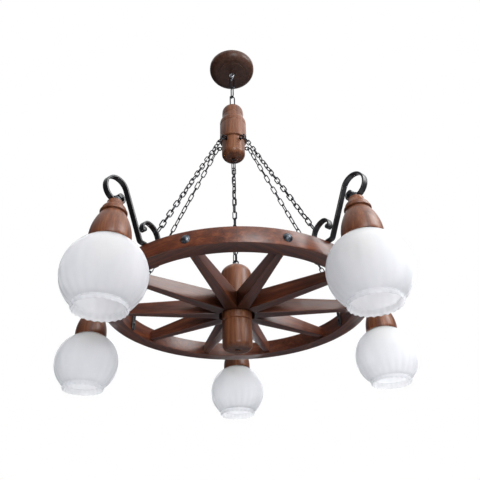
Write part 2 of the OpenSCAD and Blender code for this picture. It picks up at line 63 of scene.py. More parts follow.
Point = tuple[float, float]
Place = tuple[float, float, float]
Shape = bmesh.types.BMesh
Tree = bpy.types.NodeTree
Node = bpy.types.Node
Socket = bpy.types.NodeSocket
Material = bpy.types.Material
Piece = bpy.types.Object
Links = dict[Union[str, int], Union[Node, Socket, float, int, bool, str, tuple, Vector]]


# ------------------------------------------------------------------ where things are


@dataclass(frozen=True)
class Layout:
    """Where the main parts sit, in millimetres from the ceiling's fixing point."""

    wheel_z: float = -864.0
    lamp_circle: float = 378.0
    spokes: int = 10
    felloes: int = 5
    lamp_angles: tuple[float, ...] = (-126.0, -54.0, 18.0, 90.0, 162.0)
    seat: float = 0.3

    @property
    def lamps(self) -> range:
        """The lamps' numbers, from 1."""
        return range(1, len(self.lamp_angles) + 1)

    def at_wheel(self, angle: float = 0.0) -> Matrix:
        """Place of the wheel's frame, turned about its axle by angle degrees."""
        return Matrix.Translation((0, 0, self.wheel_z)) @ Matrix.Rotation(
            math.radians(angle), 4, "Z"
        )

    def at_lamp(self, lamp: int) -> Matrix:
        """Place of the frame on a lamp's own axis, at the height of the rim's underside."""
        return self.at_wheel(self.lamp_angles[lamp - 1]) @ Matrix.Translation(
            (self.lamp_circle, 0, 0)
        )


LAYOUT = Layout()


# ------------------------------------------------------------------ nodes and colours


def linear(code: str) -> tuple[float, float, float, float]:
    """Turns an sRGB hex code into Blender's linear colour.

    Args:
        code: Six hex digits after a hash sign.

    Returns:
        Red, green, blue and alpha.
    """
    parts = [int(code[i : i + 2], 16) / 255 for i in (1, 3, 5)]
    red, green, blue = [
        c / 12.92 if c <= 0.04045 else ((c + 0.055) / 1.055) ** 2.4 for c in parts
    ]
    return (red, green, blue, 1.0)


def feed(node: Node, links: Links) -> None:
    """Feeds a node's inputs.

    Args:
        node: The node.
        links: For each input, by name or place, what feeds it: a socket, a node by its first
            output, or a plain value.
    """
    for key, value in links.items():
        if isinstance(value, Node):
            value = value.outputs[0]
        if isinstance(value, Socket):
            node.id_data.links.new(value, node.inputs[key])
        else:
            node.inputs[key].default_value = value


def add(tree: Tree, kind: str, links: Optional[Links] = None, **settings: object) -> Node:
    """Adds one node to a tree.

    Args:
        tree: The shader, world or geometry tree.
        kind: The node's Blender name.
        links: What feeds its inputs, as feed takes it.
        settings: The node's own properties.

    Returns:
        The new node.
    """
    node = tree.nodes.new(kind)
    for key, value in settings.items():
        setattr(node, key, value)
    feed(node, links or {})
    return node


def ramp(tree: Tree, factor: Union[Node, Socket], stops: Sequence[tuple[float, str]]) -> Node:
    """Turns a factor into a colour through named stops.

    Args:
        tree: The material's tree.
        factor: What picks the colour, from 0 to 1.
        stops: Places and their sRGB hex colours, in order.

    Returns:
        The node, whose first output is the colour.
    """
    node = add(tree, "ShaderNodeValToRGB", {"Fac": factor})
    elements = node.color_ramp.elements
    while len(elements) < len(stops):
        elements.new(0.5)
    for element, (place, code) in zip(elements, stops):
        element.position = place
        element.color = linear(code)
    return node


def blank_material(name: str) -> tuple[Material, Node]:
    """Makes a material with only a Principled shader.

    Args:
        name: The material's plain name.

    Returns:
        The material and its shader node.
    """
    material = bpy.data.materials.new(name)
    material.use_nodes = True
    tree = material.node_tree
    tree.nodes.clear()
    shader = add(tree, "ShaderNodeBsdfPrincipled")
    add(tree, "ShaderNodeOutputMaterial", {"Surface": shader})
    return material, shader


# ------------------------------------------------------------------ finishes


@dataclass(frozen=True)
class Finish:
    """What all finishes share: a plain name, and a shader that they feed."""

    name: str

    def surface(self, tree: Tree) -> Links:
        """What feeds the Principled shader's inputs. Each finish has its own."""
        raise NotImplementedError

    def material(self) -> Material:
        """Builds the material.

        Returns:
            The material, dressed.
        """
        material, shader = blank_material(self.name)
        feed(shader, self.surface(material.node_tree))
        return material


class Grain(Enum):
    """Which way the grain runs on a wooden piece."""

    UPRIGHT = "along the turning axis"
    SPOKE = "out from the hub"
    FELLOE = "round the rim, straight in each of five boards"


@dataclass(frozen=True)
class LacqueredWood(Finish):
    """Stained hardwood under a satin spray lacquer.

    The stain sits in the grain, so the darker streaks follow it, and the clear coat over it
    gives a soft highlight of its own. Grain streaks are about 2 mm apart and drawn a little
    coarser than the real ones, which would be lost in the picture.
    """

    grain: Grain
    dark: str = "#2c150b"
    middle: str = "#5b2c18"
    light: str = "#864a2a"
    roughness: float = 0.34
    coat: float = 0.12
    coat_roughness: float = 0.15
    # How deep the painted shade towards the hub goes, from 0 for none to 1.
    painted_hub_shade: float = 0.0
    shine: float = 0.5
    board_shift: float = 613.0

    def boards(self, tree: Tree) -> tuple[Node, Node]:
        """Finds each point's place in its own board, with the grain along X.

        Args:
            tree: The material's tree.

        Returns:
            Nodes for the place in millimetres and for the distance to the board's end joint.
        """
        place = add(tree, "ShaderNodeTexCoord").outputs["Object"]
        mm = add(tree, "ShaderNodeVectorMath", {0: place, "Scale": PER_METRE}, operation="SCALE")
        x, y, z = add(tree, "ShaderNodeSeparateXYZ", {0: mm}).outputs
        if self.grain is Grain.UPRIGHT:
            turned = add(tree, "ShaderNodeCombineXYZ", {"X": z, "Y": x, "Z": y})
            no_joint = add(tree, "ShaderNodeMath", {0: 99.0}, operation="ADD")
            return turned, no_joint
        out = self.grain is Grain.SPOKE
        step = 2 * math.pi / (LAYOUT.spokes if out else LAYOUT.felloes)
        first = 0.0 if out else step / 4
        angle = add(tree, "ShaderNodeMath", {0: y, 1: x}, operation="ARCTAN2")
        shifted = add(tree, "ShaderNodeMath", {0: angle, 1: first}, operation="SUBTRACT")
        count = add(tree, "ShaderNodeMath", {0: shifted, 1: step}, operation="DIVIDE")
        board = add(tree, "ShaderNodeMath", {0: count}, operation="ROUND")
        turn = add(
            tree, "ShaderNodeMath", {0: board, 1: step, 2: first}, operation="MULTIPLY_ADD"
        )
        back = add(tree, "ShaderNodeMath", {0: turn, 1: -1.0}, operation="MULTIPLY")
        flat = add(
            tree, "ShaderNodeVectorRotate", {"Vector": mm, "Angle": back}, rotation_type="Z_AXIS"
        )
        radial, across, _ = add(tree, "ShaderNodeSeparateXYZ", {0: flat}).outputs
        long, wide = (radial, across) if out else (across, radial)
        shift = add(tree, "ShaderNodeMath", {0: board, 1: self.board_shift}, operation="MULTIPLY")
        moved = add(tree, "ShaderNodeMath", {0: long, 1: shift}, operation="ADD")
        own = add(tree, "ShaderNodeCombineXYZ", {"X": moved, "Y": wide, "Z": z})
        side = add(tree, "ShaderNodeMath", {0: across}, operation="ABSOLUTE")
        reach = add(
            tree, "ShaderNodeMath", {0: radial, 1: math.tan(step / 2)}, operation="MULTIPLY"
        )
        gap = add(tree, "ShaderNodeMath", {0: reach, 1: side}, operation="SUBTRACT")
        return own, gap

    def paint_hub_shade(self, tree: Tree, stain: Node) -> Socket:
        """Paints shade into the stain towards the hub, where the crowded spokes and the hub shade
        each other.

        Args:
            tree: The material's tree.
            stain: The stain's colour.

        Returns:
            The colour, darker within about 130 mm of the wheel's axle.
        """
        place = add(tree, "ShaderNodeTexCoord").outputs["Object"]
        level = add(
            tree, "ShaderNodeVectorMath", {0: place, 1: (1.0, 1.0, 0.0)}, operation="MULTIPLY"
        )
        reach = add(tree, "ShaderNodeVectorMath", {0: level}, operation="LENGTH")
        share = add(
            tree,
            "ShaderNodeMapRange",
            {
                "Value": reach.outputs["Value"],
                "From Min": 0.04,
                "From Max": 0.13,
                "To Min": self.painted_hub_shade,
                "To Max": 0.0,
            },
        )
        # Painted shade: the stain is mixed towards near-black #170c08, most at the hub and none
        # past 130 mm from the axle.
        mixed = add(
            tree,
            "ShaderNodeMix",
            {"Factor": share, COLOUR_A: stain, COLOUR_B: linear("#170c08")},
            data_type="RGBA",
        )
        return mixed.outputs[COLOUR_OUT]

    def surface(self, tree: Tree) -> Links:
        """Draws figure, streaks, pores and board joints.

        Args:
            tree: The material's tree.

        Returns:
            What feeds the shader.
        """
        place, gap = self.boards(tree)
        # Broad figure: bands about 9 mm wide that run 200 mm and more along the grain.
        long_way = add(tree, "ShaderNodeMapping", {"Vector": place, "Scale": (0.004, 0.11, 0.11)})
        figure = add(
            tree,
            "ShaderNodeTexNoise",
            {"Vector": long_way, "Scale": 1.0, "Detail": 3.0, "Distortion": 0.35},
        )
        # Streaks: 2 mm wide and about 40 mm long.
        fine_way = add(tree, "ShaderNodeMapping", {"Vector": place, "Scale": (0.025, 0.5, 0.5)})
        streaks = add(
            tree,
            "ShaderNodeTexNoise",
            {"Vector": fine_way, "Scale": 1.0, "Detail": 4.0, "Roughness": 0.62},
        )
        # Pores: short dashes 0.8 mm wide and 12 mm long, under the lacquer.
        pore_way = add(tree, "ShaderNodeMapping", {"Vector": place, "Scale": (0.08, 1.3, 1.3)})
        pores = add(tree, "ShaderNodeTexNoise", {"Vector": pore_way, "Scale": 1.0, "Detail": 1.0})
        blend = add(
            tree,
            "ShaderNodeMix",
            {"Factor": 0.42, NUMBER_A: figure, NUMBER_B: streaks},
            data_type="FLOAT",
        )
        stain = ramp(tree, blend, [(0.28, self.dark), (0.50, self.middle), (0.72, self.light)])
        pits = add(
            tree,
            "ShaderNodeMapRange",
            {"Value": pores, "From Min": 0.62, "From Max": 0.74, "To Min": 0.0, "To Max": 0.3},
        )
        # Joints between boards: dark lines 0.3 mm wide that fade out at 1.8 mm.
        joint = add(
            tree,
            "ShaderNodeMapRange",
            {"Value": gap, "From Min": 0.15, "From Max": 0.9, "To Min": 0.55, "To Max": 0.0},
        )
        # Painted shade towards the hub first, then the wood's own pores and board joints.
        colour = self.paint_hub_shade(tree, stain)
        for share in (pits, joint):
            colour = add(
                tree,
                "ShaderNodeMix",
                {"Factor": share, COLOUR_A: colour, COLOUR_B: linear(self.dark)},
                data_type="RGBA",
            ).outputs[COLOUR_OUT]
        satin = add(
            tree,
            "ShaderNodeMapRange",
            {
                "Value": streaks,
                "From Min": 0.3,
                "From Max": 0.7,
                "To Min": self.roughness - 0.05,
                "To Max": self.roughness + 0.07,
            },
        )
        relief = add(
            tree, "ShaderNodeMath", {0: pits, 1: -0.5, 2: streaks}, operation="MULTIPLY_ADD"
        )
        bump = add(
            tree, "ShaderNodeBump", {"Height": relief, "Strength": 0.12, "Distance": 0.0004}
        )
        return {
            "Base Color": colour,
            "Roughness": satin,
            "Normal": bump,
            "Specular IOR Level": self.shine,
            "Coat Weight": self.coat,
            "Coat Roughness": self.coat_roughness,
        }


@dataclass(frozen=True)
class PaintedIron(Finish):
    """Forged or bent steel under satin black enamel.

    The paint is thin, so the hammered and drawn surface under it still shows as faint dents
    about 6 mm across, and it is a little greyer in patches where it has been handled.
    """

    paint: str = "#141416"
    worn: str = "#202023"
    roughness: float = 0.34
    dent: float = 6.0
    patch: float = 28.0

    def surface(self, tree: Tree) -> Links:
        """Draws dents and handled patches.

        Args:
            tree: The material's tree.

        Returns:
            What feeds the shader.
        """
        place = add(tree, "ShaderNodeTexCoord").outputs["Object"]
        dents = add(
            tree,
            "ShaderNodeTexNoise",
            {"Vector": place, "Scale": PER_METRE / self.dent, "Detail": 2.0},
        )
        handled = add(
            tree,
            "ShaderNodeTexNoise",
            {"Vector": place, "Scale": PER_METRE / self.patch, "Detail": 5.0, "Roughness": 0.7},
        )
        satin = add(
            tree,
            "ShaderNodeMapRange",
            {
                "Value": handled,
                "From Min": 0.35,
                "From Max": 0.7,
                "To Min": self.roughness - 0.06,
                "To Max": self.roughness + 0.08,
            },
        )
        return {
            "Base Color": ramp(tree, handled, [(0.40, self.paint), (0.72, self.worn)]),
            "Roughness": satin,
            "Normal": add(
                tree, "ShaderNodeBump", {"Height": dents, "Strength": 0.25, "Distance": 0.0003}
            ),
            "Specular IOR Level": 0.6,
        }


@dataclass(frozen=True)
class PlatedSteel(Finish):
    """Steel with a thin plating: bright zinc, or the black one that chain and bolts carry.

    Fine drawing lines about 1 mm apart and cloudy patches of 9 mm vary its shine.
    """

    bright: str
    dull: str
    roughness: float = 0.3
    metallic: float = 1.0
    patch: float = 9.0
    line: float = 1.2

    def surface(self, tree: Tree) -> Links:
        """Draws clouds and drawing lines.

        Args:
            tree: The material's tree.

        Returns:
            What feeds the shader.
        """
        place = add(tree, "ShaderNodeTexCoord").outputs["Object"]
        clouds = add(
            tree,
            "ShaderNodeTexNoise",
            {"Vector": place, "Scale": PER_METRE / self.patch, "Detail": 4.0, "Roughness": 0.6},
        )
        lines = add(
            tree,
            "ShaderNodeTexNoise",
            {"Vector": place, "Scale": PER_METRE / self.line, "Detail": 1.0},
        )
        satin = add(
            tree,
            "ShaderNodeMapRange",
            {
                "Value": clouds,
                "From Min": 0.3,
                "From Max": 0.7,
                "To Min": self.roughness + 0.1,
                "To Max": self.roughness - 0.06,
            },
        )
        return {
            "Base Color": ramp(tree, clouds, [(0.36, self.dull), (0.66, self.bright)]),
            "Roughness": satin,
            "Normal": add(
                tree, "ShaderNodeBump", {"Height": lines, "Strength": 0.12, "Distance": 0.0001}
            ),
            "Metallic": self.metallic,
        }


@dataclass(frozen=True)
class OpalGlass(Finish):
    """Mould-blown opal glass, etched to a satin surface.

    Light passes through it fully scattered, so it looks milky and evenly lit from within. The
    milk is slightly cloudy over 20 mm and more, and the etching leaves a fine even grain. The
    IOR is lower than that of clear glass, because the etching takes most of its gloss.
    """

    milk: str = "#f6f6f8"
    cloud: str = "#f0f1f3"
    roughness: float = 1.0
    through: float = 0.86
    ior: float = 1.3
    etching: float = 1.5

    def surface(self, tree: Tree) -> Links:
        """Draws upright clouds in the milk and the grain of the etching.

        Args:
            tree: The material's tree.

        Returns:
            What feeds the shader.
        """
        place = add(tree, "ShaderNodeTexCoord").outputs["Object"]
        upright = add(tree, "ShaderNodeMapping", {"Vector": place, "Scale": (45.0, 45.0, 16.0)})
        clouds = add(tree, "ShaderNodeTexNoise", {"Vector": upright, "Scale": 1.0, "Detail": 3.0})
        grain = add(
            tree,
            "ShaderNodeTexNoise",
            {"Vector": place, "Scale": PER_METRE / self.etching, "Detail": 1.0},
        )
        return {
            "Base Color": ramp(tree, clouds, [(0.35, self.cloud), (0.65, self.milk)]),
            "Normal": add(
                tree, "ShaderNodeBump", {"Height": grain, "Strength": 0.08, "Distance": 0.0002}
            ),
            "Roughness": self.roughness,
            "Transmission Weight": self.through,
            "IOR": self.ior,
        }


@dataclass(frozen=True)
class MouldedPlastic(Finish):
    """Thermoset plastic of lampholders and terminal blocks, with a soft moulded gloss.

    Its filler specks of 0.5 mm are drawn at 1.5 mm, so that they show at all.
    """

    colour: str
    speckle: str
    roughness: float = 0.4
    speck: float = 1.5

    def surface(self, tree: Tree) -> Links:
        """Draws the filler's specks.

        Args:
            tree: The material's tree.

        Returns:
            What feeds the shader.
        """
        place = add(tree, "ShaderNodeTexCoord").outputs["Object"]
        specks = add(
            tree,
            "ShaderNodeTexNoise",
            {"Vector": place, "Scale": PER_METRE / self.speck, "Detail": 2.0},
        )
        return {
            "Base Color": ramp(tree, specks, [(0.40, self.speckle), (0.55, self.colour)]),
            "Normal": add(
                tree, "ShaderNodeBump", {"Height": specks, "Strength": 0.08, "Distance": 0.0002}
            ),
            "Roughness": self.roughness,
        }


# ------------------------------------------------------------------ meshes


def eased(
    points: Sequence[Point], radius: float, closed: bool = False, steps: int = 4
) -> list[Point]:
    """Rounds the corners of an outline.

    Args:
        points: The outline's corners.
        radius: How far from a corner its rounding starts, at most.
        closed: True if the last point joins the first.
        steps: How many short edges a rounded corner gets.

    Returns:
        The outline with every real corner replaced by a small curve.
    """
    nearly_straight, most_of_edge = math.radians(165), 0.45
    result: list[Point] = []
    n = len(points)
    for i, p in enumerate(points):
        if not closed and i in (0, n - 1):
            result.append(p)
            continue
        here, before, after = Vector(p), Vector(points[i - 1]), Vector(points[(i + 1) % n])
        back, on = before - here, after - here
        if min(back.length, on.length) < TINY or back.angle(on) > nearly_straight:
            result.append(p)
            continue
        reach = min(radius, back.length * most_of_edge, on.length * most_of_edge)
        start, end = here + back.normalized() * reach, here + on.normalized() * reach
        for k in range(steps + 1):
            t = k / steps
            q = start * (1 - t) ** 2 + here * 2 * t * (1 - t) + end * t**2
            result.append((q.x, q.y))
    return result


def arc(x: float, z: float, r: float, start: float, end: float, steps: int = 12) -> list[Point]:
    """Points along an arc about a centre, from one angle to another in degrees."""
    angles = [math.radians(start + (end - start) * i / steps) for i in range(steps + 1)]
    return [(x + r * math.cos(a), z + r * math.sin(a)) for a in angles]


def quarter(x: float, z: float, rx: float, rz: float, steps: int = 16) -> list[Point]:
    """A quarter of an ellipse from beside its centre to above it."""
    angles = [math.radians(90 * i / steps) for i in range(steps + 1)]
    return [(x + rx * math.cos(a), z + rz * math.sin(a)) for a in angles]


def lathe(profile: Sequence[Point], steps: int = 96) -> Shape:
    """Turns a profile round the Z axis.

    Args:
        profile: Radius and height of each point. With both ends on the axis the piece is
            solid; otherwise the profile is a closed loop round a bore.
        steps: How many faces go round.

    Returns:
        The closed mesh with its normals outwards.
    """
    bm = bmesh.new()
    rings: list[list[bmesh.types.BMVert]] = []
    for r, z in profile:
        if r < TINY:
            rings.append([bm.verts.new((0, 0, z))])
            continue
        angles = (2 * math.pi * i / steps for i in range(steps))
        rings.append([bm.verts.new((r * math.cos(a), r * math.sin(a), z)) for a in angles])
    pairs = list(zip(rings, rings[1:]))
    if len(rings[0]) > 1:
        pairs.append((rings[-1], rings[0]))
    for low, high in pairs:
        for i in range(steps):
            j = (i + 1) % steps
            corners = [low[i % len(low)], low[j % len(low)], high[j % len(high)]]
            corners.append(high[i % len(high)])
            unique = list(dict.fromkeys(corners))
            if len(unique) > 2:
                bm.faces.new(unique)
    bmesh.ops.recalc_face_normals(bm, faces=bm.faces)
    return bm


def mesh_object(name: str, bm: Shape) -> Piece:
    """Puts a finished mesh into a new object at the origin.

    Args:
        name: The object's and its mesh's name.
        bm: The mesh, which is freed.

    Returns:
        The object, linked to the scene.
    """
    mesh = bpy.data.meshes.new(name)
    bm.to_mesh(mesh)
    bm.free()
    obj = bpy.data.objects.new(name, mesh)
    bpy.context.scene.collection.objects.link(obj)
    return obj


def join(target: Shape, part: Shape, place: Matrix) -> None:
    """Copies a part into another mesh.

    Args:
        target: The mesh that grows.
        part: The part, which is freed.
        place: Where the part goes.
    """
    part.transform(place)
    scratch = bpy.data.meshes.new("scratch")
    part.to_mesh(scratch)
    part.free()
    target.from_mesh(scratch)
    bpy.data.meshes.remove(scratch)


def place_piece(
    obj: Piece,
    place: Matrix,
    body: str,
    nodes: Iterable[str],
    material: Optional[Material] = None,
    crease: float = 38.0,
) -> None:
    """Puts a piece in its place in the frame and ties it to its body.

    Args:
        obj: The piece, in millimetres about its own origin.
        place: Where it goes, in millimetres.
        body: The body that it rides on.
        nodes: The nodes that it stands for.
        material: Its finish, unless its mesh carries one.
        crease: Edges sharper than this many degrees stay crisp.
    """
    obj.data.transform(Matrix.Scale(MM, 4) @ place)
    obj.data.shade_smooth()
    obj.data.set_sharp_from_angle(angle=math.radians(crease))
    if material is not None:
        obj.data.materials.clear()
        obj.data.materials.append(material)
    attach(obj, body)
    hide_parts(*nodes)
    log.info("%s: %d faces on %s", obj.name, len(obj.data.polygons), body)


# ------------------------------------------------------------------ geometry nodes


class Rule:
    """A geometry node tree with named inputs, run once on an object and then made plain."""

    def __init__(self, name: str, inputs: dict[str, Union[int, float]]) -> None:
        """Makes the tree's sockets.

        Args:
            name: The tree's name.
            inputs: Each named input and its default, a whole number or a length or angle.
        """
        self.tree = bpy.data.node_groups.new(name, "GeometryNodeTree")
        face = self.tree.interface
        face.new_socket("Geometry", in_out="INPUT", socket_type="NodeSocketGeometry")
        self.keys: dict[str, str] = {}
        for label, value in inputs.items():
            kind = "NodeSocketInt" if isinstance(value, int) else "NodeSocketFloat"
            socket = face.new_socket(label, in_out="INPUT", socket_type=kind)
            socket.default_value = value
            self.keys[label] = socket.identifier
        finish = face.new_socket("Material", in_out="INPUT", socket_type="NodeSocketMaterial")
        self.keys["Material"] = finish.identifier
        face.new_socket("Geometry", in_out="OUTPUT", socket_type="NodeSocketGeometry")
        self.start = self.tree.nodes.new("NodeGroupInput")

    def given(self, label: str) -> Socket:
        """The socket that carries a named input."""
        return self.start.outputs[label]

    def end(self, geometry: Node) -> None:
        """Realises the instances, dresses the result and closes the tree.

        Args:
            geometry: The node that gives the shape.
        """
        plain = add(self.tree, "GeometryNodeRealizeInstances", {0: geometry})
        finish = {"Geometry": plain, "Material": self.given("Material")}
        add(self.tree, "NodeGroupOutput", {0: add(self.tree, "GeometryNodeSetMaterial", finish)})

    def apply(self, obj: Piece, material: Material, **values: float) -> Piece:
        """Runs the tree on an object and swaps it for the plain result.

        Args:
            obj: The object that the tree starts from.
            material: The finish of what the tree makes.
            values: The tree's inputs, by name with underscores for spaces.

        Returns:
            A mesh object of the same name with no modifier.
        """
        modifier = obj.modifiers.new(self.tree.name, "NODES")
        modifier.node_group = self.tree
        for label, value in values.items():
            modifier[self.keys[label.replace("_", " ")]] = value
        modifier[self.keys["Material"]] = material
        bpy.context.view_layer.update()
        graph = bpy.context.evaluated_depsgraph_get()
        mesh = bpy.data.meshes.new_from_object(obj.evaluated_get(graph), depsgraph=graph)
        name = obj.name
        obj.modifiers.remove(modifier)
        bpy.data.objects.remove(obj)
        plain = bpy.data.objects.new(name, mesh)
        mesh.name = name
        bpy.context.scene.collection.objects.link(plain)
        return plain


def chain_rule() -> Rule:
    """Makes the tree of wire links at an even pitch, each turned against the one above it.

    Returns:
        The rule, which starts from an empty object.
    """
    rule = Rule(
        "chain_rule",
        {
            "Count": 12,
            "Pitch": 20.0,
            "Start": 0.0,
            "Length": 26.0,
            "Width": 12.5,
            "Wire": 2.8,
            "First Turn": 0.0,
            "Turn": math.pi / 2,
            "Slack": 0.1,
            "Seed": 1,
        },
    )
    tree, given = rule.tree, rule.given
    down = add(tree, "ShaderNodeMath", {0: given("Pitch"), 1: -1.0}, operation="MULTIPLY")
    line = add(
        tree,
        "GeometryNodeMeshLine",
        {
            "Count": given("Count"),
            "Start Location": add(tree, "ShaderNodeCombineXYZ", {"Z": given("Start")}),
            "Offset": add(tree, "ShaderNodeCombineXYZ", {"Z": down}),
        },
        mode="OFFSET",
    )
    wire = given("Wire")
    wide = add(tree, "ShaderNodeMath", {0: given("Width"), 1: wire}, operation="SUBTRACT")
    tall = add(tree, "ShaderNodeMath", {0: given("Length"), 1: wire}, operation="SUBTRACT")
    oblong = add(
        tree,
        "GeometryNodeCurvePrimitiveQuadrilateral",
        {"Width": wide, "Height": tall},
        mode="RECTANGLE",
    )
    # The ends are rounded by a hair less than half the width, so that no edge vanishes.
    half = add(tree, "ShaderNodeMath", {0: wide, 1: 0.499}, operation="MULTIPLY")
    oval = add(
        tree,
        "GeometryNodeFilletCurve",
        {"Curve": oblong, "Count": 5, "Radius": half, "Limit Radius": True},
        mode="POLY",
    )
    thin = add(tree, "ShaderNodeMath", {0: wire, 1: 0.5}, operation="MULTIPLY")
    section = add(
        tree,
        "GeometryNodeCurvePrimitiveCircle",
        {"Resolution": 8, "Radius": thin},
        mode="RADIUS",
    )
    link = add(tree, "GeometryNodeCurveToMesh", {"Curve": oval, "Profile Curve": section})
    upright = add(
        tree, "GeometryNodeTransform", {"Geometry": link, "Rotation": (math.pi / 2, 0.0, 0.0)}
    )
    even = add(
        tree,
        "ShaderNodeMath",
        {0: add(tree, "GeometryNodeInputIndex"), 1: given("Turn"), 2: given("First Turn")},
        operation="MULTIPLY_ADD",
    )
    least = add(tree, "ShaderNodeMath", {0: given("Slack"), 1: -1.0}, operation="MULTIPLY")
    loose = add(
        tree,
        "FunctionNodeRandomValue",
        {2: least, 3: given("Slack"), "Seed": given("Seed")},
        data_type="FLOAT",
    )
    turn = add(tree, "ShaderNodeMath", {0: even, 1: loose.outputs[1]}, operation="ADD")
    euler = add(tree, "ShaderNodeCombineXYZ", {"Z": turn})
    rotation = add(tree, "FunctionNodeEulerToRotation", {0: euler})
    links = {"Points": line, "Instance": upright, "Rotation": rotation}
    rule.end(add(tree, "GeometryNodeInstanceOnPoints", links))
    return rule


def circle_rule() -> Rule:
    """Makes the tree that repeats the starting piece about the Z axis.

    Returns:
        The rule.
    """
    rule = Rule("circle_rule", {"Count": 10, "First Turn": 0.0})
    tree, given = rule.tree, rule.given
    points = add(tree, "GeometryNodePoints", {"Count": given("Count")})
    share = add(
        tree, "ShaderNodeMath", {0: 2 * math.pi, 1: given("Count")}, operation="DIVIDE"
    )
    turn = add(
        tree,
        "ShaderNodeMath",
        {0: add(tree, "GeometryNodeInputIndex"), 1: share, 2: given("First Turn")},
        operation="MULTIPLY_ADD",
    )
    euler = add(tree, "ShaderNodeCombineXYZ", {"Z": turn})
    rotation = add(tree, "FunctionNodeEulerToRotation", {0: euler})
    links = {"Points": points, "Instance": given("Geometry"), "Rotation": rotation}
    rule.end(add(tree, "GeometryNodeInstanceOnPoints", links))
    return rule


def bar_rule() -> Rule:
    """Makes the tree of flat bar with eased edges along a curve that lies in the XY plane.

    Returns:
        The rule.
    """
    rule = Rule("bar_rule", {"Thickness": 4.0, "Width": 12.0, "Edge": 0.8})
    tree, given = rule.tree, rule.given
    section = add(
        tree,
        "GeometryNodeCurvePrimitiveQuadrilateral",
        {"Width": given("Thickness"), "Height": given("Width")},
        mode="RECTANGLE",
    )
    soft = add(
        tree,
        "GeometryNodeFilletCurve",
        {"Curve": section, "Count": 3, "Radius": given("Edge"), "Limit Radius": True},
        mode="POLY",
    )
    links = {"Curve": given("Geometry"), "Profile Curve": soft, "Fill Caps": True}
    rule.end(add(tree, "GeometryNodeCurveToMesh", links))
    return rule


def flute_rule() -> Rule:
    """Makes the tree that presses flutes into a turned shell and scallops its edge.

    Returns:
        The rule. Each point's press and edge attributes say how much of both it gets.
    """
    rule = Rule("flute_rule", {"Flutes": 32.0, "Depth": 0.8, "Scallop": 1.0})
    tree, given = rule.tree, rule.given
    x, y, _ = add(
        tree, "ShaderNodeSeparateXYZ", {0: add(tree, "GeometryNodeInputPosition")}
    ).outputs
    angle = add(tree, "ShaderNodeMath", {0: y, 1: x}, operation="ARCTAN2")
    phase = add(tree, "ShaderNodeMath", {0: angle, 1: given("Flutes")}, operation="MULTIPLY")
    wave = add(tree, "ShaderNodeMath", {0: phase}, operation="COSINE")
    outward = add(tree, "ShaderNodeCombineXYZ", {"X": x, "Y": y})
    unit = add(tree, "ShaderNodeVectorMath", {0: outward}, operation="NORMALIZE")
    waves = []
    for attribute, size in (("press", "Depth"), ("edge", "Scallop")):
        share = add(
            tree, "GeometryNodeInputNamedAttribute", {"Name": attribute}, data_type="FLOAT"
        )
        most = add(tree, "ShaderNodeMath", {0: share, 1: given(size)}, operation="MULTIPLY")
        waves.append(add(tree, "ShaderNodeMath", {0: most, 1: wave}, operation="MULTIPLY"))
    sideways = add(tree, "ShaderNodeVectorMath", {0: unit, "Scale": waves[0]}, operation="SCALE")
    down = add(tree, "ShaderNodeMath", {0: waves[1], 1: -1.0}, operation="MULTIPLY")
    upward = add(tree, "ShaderNodeCombineXYZ", {"Z": down})
    offset = add(tree, "ShaderNodeVectorMath", {0: sideways, 1: upward}, operation="ADD")
    links = {"Geometry": given("Geometry"), "Offset": offset}
    rule.end(add(tree, "GeometryNodeSetPosition", links))
    return rule


class Workshop:
    """Every finish and every geometry node tree, built once and shared by the pieces."""

    def __init__(self) -> None:
        """Builds the materials and the trees."""
        self.turned = LacqueredWood(
            "turned_beech_lacquered",
            Grain.UPRIGHT,
            "#371c10",
            "#6a3c24",
            "#905c38",
            roughness=0.4,
            coat=0.05,
            shine=0.45,
        ).material()
        # Only the spokes get painted shade towards the hub.
        self.spoke = LacqueredWood("spoke_beech_lacquered", Grain.SPOKE, painted_hub_shade=0.65).material()
        self.felloe = LacqueredWood("felloe_beech_lacquered", Grain.FELLOE).material()
        self.canopy = LacqueredWood(
            "canopy_beech_dark",
            Grain.UPRIGHT,
            "#301c14",
            "#4b3024",
            "#624334",
            roughness=0.36,
            coat=0.0,
            shine=0.3,
        ).material()
        self.iron = PaintedIron("black_enamelled_bar").material()
        self.chain = PlatedSteel("black_plated_chain", "#3b3c42", "#17171a", 0.3, 0.85).material()
        self.bolt = PlatedSteel("steel_bolt_head", "#6c7279", "#34373c", 0.36).material()
        self.zinc = PlatedSteel("bright_zinc", "#d9dde1", "#a4a9ae", 0.24).material()
        self.opal = OpalGlass("satin_opal_glass").material()
        self.holder = MouldedPlastic("cream_lampholder_plastic", "#e6e1d3", "#d9d3c2").material()
        self.block = MouldedPlastic("white_terminal_plastic", "#e9e6dc", "#dcd8cb").material()
        self.chains = chain_rule()
        self.circle = circle_rule()
        self.bar = bar_rule()
        self.flutes = flute_rule()


# ------------------------------------------------------------------ sub-assemblies


@dataclass
class Assembly:
    """What all sub-assemblies share: the workshop with their finishes and their rules."""

    shop: Workshop

    def build(self) -> None:
        """Makes the pieces. Each sub-assembly has its own."""
        raise NotImplementedError


